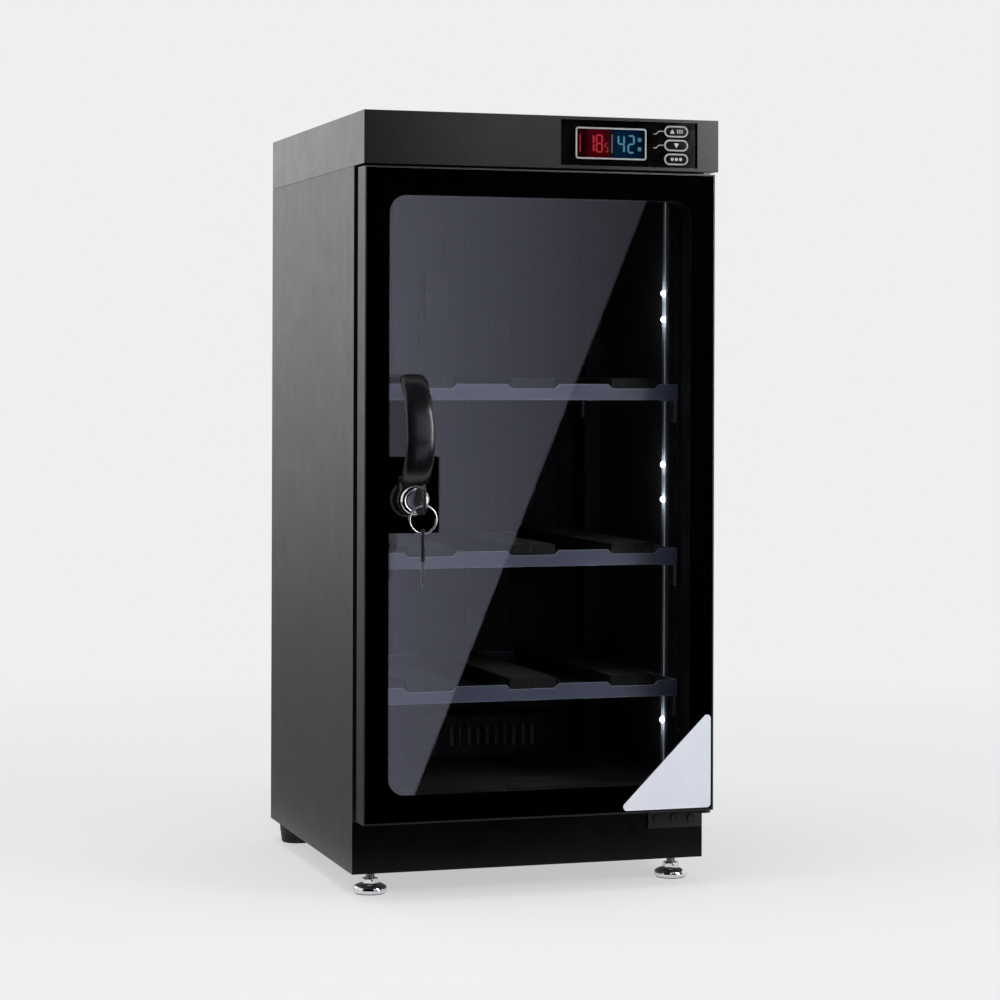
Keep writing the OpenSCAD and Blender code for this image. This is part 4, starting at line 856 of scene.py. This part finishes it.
def shelf_mat_piece(name):
    """Foam mat whose raised spans show in the notches of the shelf's front edge."""
    notch_middle, notch_pitch, span_half, thick = 6.5, 93.5, 21, 5
    end_in, base_in, crest_in, span_in, floor_in, rounding = 0.7, 0.6, 0.8, 0.8, 0.3, 0.9
    a, b = low(name), high(name)
    middles = [notch_middle + i * notch_pitch for i in (-1, 0, 1)]
    spans = [(x - span_half, x + span_half) for x in middles]
    full = bumpy_row(a.x, b.x, a.z, a.z + thick, b.z, spans)
    spans = [(p + span_in, q - span_in) for p, q in spans]
    small = bumpy_row(
        a.x + end_in, b.x - end_in, a.z + floor_in, a.z + thick - base_in, b.z - crest_in, spans)
    shape = Shape()
    shape.slices(((small, a.y), (full, a.y + rounding), (full, (a.y + b.y) / 2),
                  (full, b.y - rounding), (small, b.y)))
    mat = shape.piece(name + "_foam", "cabinet", ["mat_rubber"], name, sharp=35)


def floor_mat_piece():
    """Ribbed floor mat: rounded ribs that run from side to side."""
    pitch, half_rib, rib_foot, web, rib_power = 12, 3, 1.6, 1.2, 0.6
    web_start, web_end, rounding, low_share = 6.8, 11.2, 0.8, 0.7
    a, b = low("floor_mat"), high("floor_mat")
    row = [(a.y + 0.3, a.z)]
    for i in range(int((b.y - a.y) / pitch)):
        y = a.y + i * pitch
        for k in range(9):
            angle = math.pi * k / 8
            rise = (b.z - a.z - rib_foot) * math.sin(angle) ** rib_power
            row.append((y + half_rib - half_rib * math.cos(angle), a.z + rib_foot + rise))
        row += [(y + web_start, a.z + web), (y + web_end, a.z + web)]
    row += [(b.y - 0.4, a.z + web), (b.y, a.z + 0.7), (b.y, a.z)]
    small = [(min(max(y, a.y + rounding), b.y - rounding), a.z + (z - a.z) * low_share) for y, z in row]
    rings = [[(x, y, z) for y, z in line] for line, x in (
        (small, a.x), (row, a.x + rounding), (row, 0.0), (row, b.x - rounding), (small, b.x))]
    shape = Shape()
    shape.loft(rings)
    mat = shape.piece("floor_mat_ribbed", "cabinet", ["floor_rubber"], "floor_mat", sharp=50)


for name in ("shelf_mat_top", "shelf_mat_middle", "shelf_mat_lower"):
    shelf_mat_piece(name)
floor_mat_piece()


# Lighting inside the cabinet

strip_low, strip_high = low("light_channel"), high("light_channel")
lamp_y = centre("light_lamps").y
chamber_low, chamber_tall = 80, 529
lamp_heights = [chamber_low + share * chamber_tall for share in (0.10, 0.48, 0.54, 0.79, 0.835)]


def channel_piece():
    """Folded channel, open towards the chamber."""
    a, b = strip_low, strip_high
    lip = ((1.0, 0.0), (0.0, 0.8), (0.0, 2.2), (0.9, 2.6))
    outline = [(b.x, a.y)]
    outline += [(a.x + deep, a.y + side) for deep, side in lip]
    outline += [(a.x + deep, b.y - side) for deep, side in reversed(lip)]
    outline.append((b.x, b.y))
    shape = Shape()
    shape.loft([[(x, y, z) for x, y in outline] for z in (a.z, a.z + 1, b.z - 1, b.z)])
    shape.piece("light_channel_strip", "cabinet", ["channel_white"], "light_channel", sharp=30)


def lamp_wire():
    """Feed wire that waves a little along the channel, with a painted glow though it is no lamp."""
    rows, end_gap, wave, wave_long, radius = 60, 2, 0.15, 23, 0.5
    a, b = strip_low, strip_high
    x, y = a.x + 0.35, a.y + 3.4
    heights = [a.z + end_gap + (b.z - a.z - 2 * end_gap) * k / rows for k in range(rows + 1)]
    path = [(x, y + wave * math.sin(z / wave_long), z) for z in heights]
    shape = Shape()
    shape.loft(sweep(path, oval(radius, radius, 8)))
    shape.piece("light_strip_wire", "cabinet", ["wire_glow"])


def lamp_domes():
    """Small domed lamps, each in a dark collar."""
    x, base, radius, steps = strip_low.x, 3.0, 2.9, 8
    dome = [(base, x + 0.9), (base, x + 0.1)]
    for k in range(steps):
        angle = k * math.pi / (2 * steps)
        dome.append((radius * math.cos(angle), x - radius * math.sin(angle)))
    collar = ((3.2, x + 0.95), (3.4, x + 0.6), (3.3, x + 0.3), (3.02, x + 0.3))
    shape = Shape()
    for z in lamp_heights:
        shape.lathe(dome, (0, lamp_y, z), "x", 0, 32)
        shape.lathe(collar, (0, lamp_y, z), "x", 1, 32)
    shape.piece("light_lamp_domes", "cabinet", ["lamp_glow", "sensor_plastic"], "light_lamps")


def lamp_lights():
    """The light that the lamps give to the chamber."""
    before_lamp = 4.8
    for i, z in enumerate(lamp_heights):
        bulb = bpy.data.lights.new("lamp_light_%d" % i, "POINT")
        bulb.energy = 0.035
        bulb.shadow_soft_size = 0.004
        bulb.color = (0.82, 0.9, 1.0)
        holder = added("lamp_light_%d" % i, bulb)
        holder.location = ((strip_low.x - before_lamp) * MM, lamp_y * MM, z * MM)
        holder.visible_camera = False
        holder.visible_glossy = False
        holder.visible_transmission = False


channel_piece()
lamp_wire()
lamp_domes()
lamp_lights()


# Display and buttons

def bar(shape, x, z, length, width, upright, mark):
    """One pointed bar of a digit."""
    h, w = length / 2, width / 2
    points = [(-h, 0), (-h + w, w), (h - w, w), (h, 0), (h - w, -w), (-h + w, -w)]
    if upright:
        points = [(v, u) for u, v in points]
    front, rear = low("display_digits").y, high("display_digits").y
    shape.plate([(x + u, z + v) for u, v in points], front, rear, mark)


def digit(shape, x, z, size, lit_bars, mark):
    """The lit ones of seven bars: top, upper pair, middle, lower pair, bottom."""
    wide, tall, width = size
    gap = 0.35
    dx, dz = (wide - width) / 2, (tall - width) / 2
    level, post = wide - width - gap, dz - gap
    places = ((0, dz, False), (-dx, dz / 2, True), (dx, dz / 2, True), (0, 0, False),
              (-dx, -dz / 2, True), (dx, -dz / 2, True), (0, -dz, False))
    for on, (u, v, upright) in zip(lit_bars, places):
        if on:
            bar(shape, x + u, z + v, post if upright else level, width, upright, mark)


def display():
    """A red group and a blue group of digits, each with its small signs."""
    one, two, four = (0, 0, 1, 0, 0, 1, 0), (1, 0, 1, 1, 1, 0, 1), (0, 1, 1, 1, 0, 1, 0)
    five, eight = (1, 1, 0, 1, 0, 1, 1), (1, 1, 1, 1, 1, 1, 1)
    big, small = (6.6, 16, 1.5), (3.3, 8, 0.75)
    thin = small[2]
    red, pale, blue = 0, 1, 2
    span = 65.0
    x, _, z = centre("display_pane")
    shape = Shape()
    for up in (1, -1):
        bar(shape, x - span * 0.43, z + up * 4.1, 7.6, thin, True, red)
    digit(shape, x - span * 0.28, z, big, one, red)
    digit(shape, x - span * 0.16, z, big, eight, red)
    digit(shape, x - span * 0.06, z - 3.5, small, five, red)
    for k in range(8):
        bar(shape, x + span * 0.02, z - 7 + 2 * k, 1.7, 1.4, True, pale)
    digit(shape, x + span * 0.15, z, big, four, blue)
    digit(shape, x + span * 0.29, z, big, two, blue)
    for up in (-1, 1):
        for k in (-1, 0, 1):
            bar(shape, x + span * 0.41 + k * 1.1, z + up * 4, 3.6, thin, True, blue)
    shape.piece("display_digit_bars", "cabinet", ["red_light", "pale_light", "blue_light"], "display_digits")


def button_sign(name, outlines):
    """A plain printed sign that stands a hair proud of its button."""
    proud, thick = 0.08, 0.1
    middle = centre(name)
    y = low(name).y - proud
    shape = Shape()
    for outline in outlines:
        shape.plate([(middle.x + u, middle.z + v) for u, v in outline], y, y + thick)
    shape.piece(name + "_sign", name, ["sign_grey"])


def button_signs():
    """Triangle and bars, triangle, three dots."""
    bars = [round_box(0.9, 3.6, 0.4, 3, (u, 0)) for u in (1.2, 3.2, 5.2)]
    dots = [round_box(2.6, 2.6, 0.9, 4, (u, 0)) for u in (-3.9, 0, 3.9)]
    button_sign("button_up", [[(-6.0, -1.7), (-1.8, -1.7), (-3.9, 1.9)]] + bars)
    button_sign("button_down", [[(-2.3, 1.8), (2.3, 1.8), (0, -2.2)]])
    button_sign("button_set", dots)


display()
button_signs()


# Feet

def hexagon(shape, x, y):
    """Flats for a spanner, with rounded corners that shrink towards the top."""
    flat_half, corner_radius, sixth, steps = 6.5, 7.5, math.pi / 3, 48
    rings = []
    for z, share in ((8.9, 1.0), (12.1, 1.0), (12.7, 0.95), (13.0, 0.86)):
        ring = []
        for m in range(steps):
            angle = math.tau * m / steps
            flat = flat_half / math.cos((angle + sixth / 2) % sixth - sixth / 2)
            r = min(flat, corner_radius * share)
            ring.append((x + r * math.cos(angle), y + r * math.sin(angle), z))
        rings.append(ring)
    shape.loft(rings)


def threaded_stem(shape, x, y, top):
    """Stem whose thread climbs by one pitch a turn."""
    foot, pitch, steps, rows_per_turn = 12.6, 1.25, 40, 8
    radius, thread_depth, end_radius, end_chamfer = 4.0, 0.62, 2.8, 0.6
    rows = int((top - foot) / pitch * rows_per_turn)
    rings = []
    for k in range(rows + 1):
        z = foot + (top - end_chamfer - foot) * k / rows
        ring = []
        for m in range(steps):
            angle = math.tau * m / steps
            phase = (z / pitch - angle / math.tau) % 1
            r = radius - thread_depth * abs(2 * phase - 1)
            ring.append((x + r * math.cos(angle), y + r * math.sin(angle), z))
        rings.append(ring)
    rings.append([(x + u, y + v, top) for u, v in oval(end_radius, end_radius, steps)])
    shape.loft(rings, 1)


def front_foot(name):
    """Levelling foot: a polished bell disc on a dark sole, hexagon and stem."""
    middle = centre(name)
    x, y = middle.x, middle.y
    sole = ((13.2, 0.0), (13.8, 0.9), (13.6, 1.2))
    bell = ((13.4, 0.9), (14.4, 0.9), (14.8, 1.3), (15.0, 2.2), (15.0, 3.6), (14.8, 4.8), (14.2, 5.9),
            (13.0, 6.9), (11.3, 7.8), (9.3, 8.5), (7.6, 8.9), (6.6, 9.0), (5.6, 9.0))
    shape = Shape()
    shape.lathe(sole, (x, y, 0), "z", 2)
    shape.lathe(bell, (x, y, 0), "z", 0, 96)
    hexagon(shape, x, y)
    threaded_stem(shape, x, y, high(name).z)
    shape.piece(name + "_bell", name, ["chrome", "zinc", "foot_rubber"], name, sharp=45)


def rear_feet():
    """Tapered rubber feet with a mould line and a sunk screw underneath."""
    radius = 17.5
    y = centre("feet_rear").y
    cone = ((6.0, 4.5), (6.0, 0.6), (6.6, 0.0), (13.9, 0.0), (14.8, 0.5), (15.2, 1.4), (16.4, 10.6),
            (16.7, 10.9), (16.5, 11.2), (17.2, 18.6), (radius, 19.3), (radius, 19.95))
    screw = ((4.6, 4.4), (4.6, 3.0), (3.8, 2.4), (2.2, 2.4), (1.8, 3.2))
    shape = Shape()
    for side in (-1, 1):
        x = side * (high("feet_rear").x - radius)
        shape.lathe(cone, (x, y, 0), "z", 0, 72)
        shape.lathe(screw, (x, y, 0), "z", 1, 36)
    shape.piece("feet_rear_rubber", "cabinet", ["foot_rubber", "zinc"], "feet_rear", sharp=35)


front_foot("foot_left")
front_foot("foot_right")
rear_feet()


# Stage, light, camera

scene.view_settings.view_transform = "Standard"
BACK = grey(0.863)
ON_FLOOR = 0.001


def surroundings():
    """A pale world for the camera and for reflections, a dimmer one that gives light."""
    scene.world = bpy.data.worlds.new("studio")
    t = Tree("studio", scene.world)
    seen = t.fed("ShaderNodeBackground", Color=BACK)
    given = t.fed("ShaderNodeBackground", Color=(0.86, 0.88, 0.92), Strength=0.55)
    path = t.node("ShaderNodeLightPath")
    looked = t.calc("MAXIMUM", path.outputs["Is Camera Ray"], path.outputs["Is Glossy Ray"])
    looked = t.calc("MAXIMUM", looked, path.outputs["Is Transmission Ray"])
    t.done(t.blend(looked, given, seen))


def stage_plane(name, corners, finish, seen=True):
    """A flat floor or card; an unseen card shows only in reflections."""
    mesh = bpy.data.meshes.new(name)
    mesh.from_pydata([tuple(c) for c in corners], [], [tuple(range(len(corners)))])
    mesh.materials.append(finishes[finish])
    obj = added(name, mesh)
    if not seen:
        obj.visible_camera = False
        obj.visible_diffuse = False
        obj.visible_shadow = False


def floor_material():
    """Pale floor that keeps the shadow near the cabinet and fades into the backdrop."""
    t = Tree("pale_floor")
    soft = t.fed("ShaderNodeBsdfDiffuse", Color=t.mix(t.noise(0.7, 2), grey(0.8), grey(0.84)))
    plain = t.fed("ShaderNodeEmission", Color=BACK)
    path = t.node("ShaderNodeLightPath")
    looked = t.calc("MAXIMUM", path.outputs["Is Camera Ray"], path.outputs["Is Glossy Ray"])
    along = t.node("ShaderNodeVectorMath", operation="LENGTH")
    t.put(along.inputs[0], t.place)
    away = t.span(along.outputs["Value"], 0.6, 1.0, 0.5, 1.6)
    t.done(t.blend(t.calc("MULTIPLY", looked, away), soft, plain))


def card_material(name, axis, ends, powers, colour=grey(1.0)):
    """Plain light card whose strength changes from one end to the other."""
    t = Tree(name)
    power = t.span(t.axis(axis), powers[0], powers[1], ends[0], ends[1])
    t.done(t.fed("ShaderNodeEmission", Color=colour, Strength=power))


def card(name, a, b, finish):
    """An unseen card between two corners, flat along the axis they share."""
    flat = min(range(3), key=lambda i: abs(a[i] - b[i]))
    u, v = [i for i in range(3) if i != flat]
    corners = []
    for pu, pv in ((a, a), (b, a), (b, b), (a, b)):
        corner = list(a)
        corner[u] = pu[u]
        corner[v] = pv[v]
        corners.append(corner)
    stage_plane(name, corners, finish, False)


surroundings()
floor_material()
stage_plane("floor", ((-8, -8, 0), (8, -8, 0), (8, 8, 0), (-8, 8, 0)), "pale_floor")

# The camera was worked out from the cabinet's straight edges in the photograph.
# Its focal length and drop are in pixels, its turns in degrees.
PICTURE_WIDTH = 1000
focal, azimuth, roll, drop = 2741.45, -17.3814, 0.1813, 123.2
eye = Vector((-0.739294, -2.379912, 0.445228))
cam_data = bpy.data.cameras.new("photo_camera")
cam_data.sensor_width = 36
cam_data.lens = focal * cam_data.sensor_width / PICTURE_WIDTH
cam_data.shift_y = -drop / PICTURE_WIDTH
cam_data.clip_start = 0.05
cam = added("photo_camera", cam_data)
cam.location = eye
cam.rotation_euler = (Matrix.Rotation(math.radians(azimuth), 3, "Z")
                      @ Matrix.Rotation(math.radians(90), 3, "X")
                      @ Matrix.Rotation(math.radians(roll), 3, "Z")).to_euler()
scene.camera = cam


def mirrored(x, z, far):
    """Where the sight line to a point of the glass goes after it is mirrored."""
    face = low("door_glass").y * MM
    point = Vector((x * MM, face, z * MM))
    way = point - eye
    step = far / way.y
    return Vector((point.x + way.x * step, face - far, point.z + way.z * step))


def glare_card():
    """The pale card that the glass mirrors: the pane's left part, cut off aslant."""
    corner, corner_x, before_glass = 15, -122, 0.36
    slant_foot, slant_head = (-114, 90.7), (94, 598.8)
    patch = [(-137, 377.5), (-93, 377.5), (-93, 312.5), (-137, 312.5)]
    low_turn, high_turn = [], []
    for turn, corner_z, first in ((low_turn, 105.7, 180), (high_turn, 583.8, 90)):
        for k in range(11):
            angle = math.radians(first + 9 * k)
            turn.append((corner_x + corner * math.cos(angle), corner_z + corner * math.sin(angle)))
    outline = low_turn + [slant_foot, slant_head] + high_turn + patch
    card_material("pale_card", "X", (-0.05, 0.24), (0.95, 0.28), (0.93, 0.94, 1.2))
    stage_plane("pale_card", [mirrored(x, z, before_glass) for x, z in outline], "pale_card", False)


def cards():
    """Dark ground, so that the glass mirrors little, and light cards for the edges."""
    left, right, front, top = -2.3, 2.4, -1.0, 2.3
    card_material("dark_card", "Z", (0.0, 2.3), (0.0, 0.004))
    card("dark_card", (left, front, ON_FLOOR), (right, front, top), "dark_card")
    card("dark_floor", (left, front, ON_FLOOR), (right, -0.22, ON_FLOOR), "dark_card")
    card("dark_top", (-1.1, front, top), (right, -0.16, top), "dark_card")
    for name, axis, ends, powers, a, b in (
            ("side_card", "Z", (0.0, 0.8), (0.2, 1.65), (-2.2, 1.7, ON_FLOOR), (0.2, 1.7, 1.8)),
            ("side_floor", "Y", (0.0, 1.7), (0.18, 0.3), (-2.2, -0.1, ON_FLOOR), (-0.2, 1.7, ON_FLOOR)),
            ("strip_card", "X", (0.5, 0.95), (3.0, 21.0), (0.5, -0.97, 0.55), (0.95, -0.97, 1.25)),
            ("header_left", "X", (0.07, 0.25), (0.05, 6.6), (0.05, -0.95, 0.69), (0.255, -0.95, 0.9)),
            ("header_right", "X", (0.468, 0.6), (16.0, 36.0), (0.472, -0.95, 0.69), (0.6, -0.95, 0.9)),
            ("low_strip", "Z", (0.0, 0.5), (2.0, 9.0), (0.5, -0.94, 0.02), (1.0, -0.94, 0.5))):
        card_material(name, axis, ends, powers)
        card(name, a, b, name)


def area(name, place, aim, size, power):
    """A soft lamp that neither the camera nor a reflection sees."""
    data = bpy.data.lights.new(name, "AREA")
    data.shape = "RECTANGLE"
    data.size, data.size_y = size
    data.energy = power
    obj = added(name, data)
    obj.location = place
    obj.rotation_euler = (Vector(aim) - Vector(place)).to_track_quat("-Z", "Y").to_euler()
    obj.visible_camera = False
    obj.visible_glossy = False


glare_card()
cards()
area("key_light", place=(1.6, -1.9, 1.5), aim=(0, 0, 0.4), size=(0.9, 1.2), power=22.0)
area("top_light", place=(-0.3, -0.2, 2.6), aim=(0, 0, 0.3), size=(1.6, 1.6), power=30.0)
area("left_light", place=(-2.2, -0.6, 1.3), aim=(0, 0, 0.45), size=(1.0, 1.4), power=10.0)
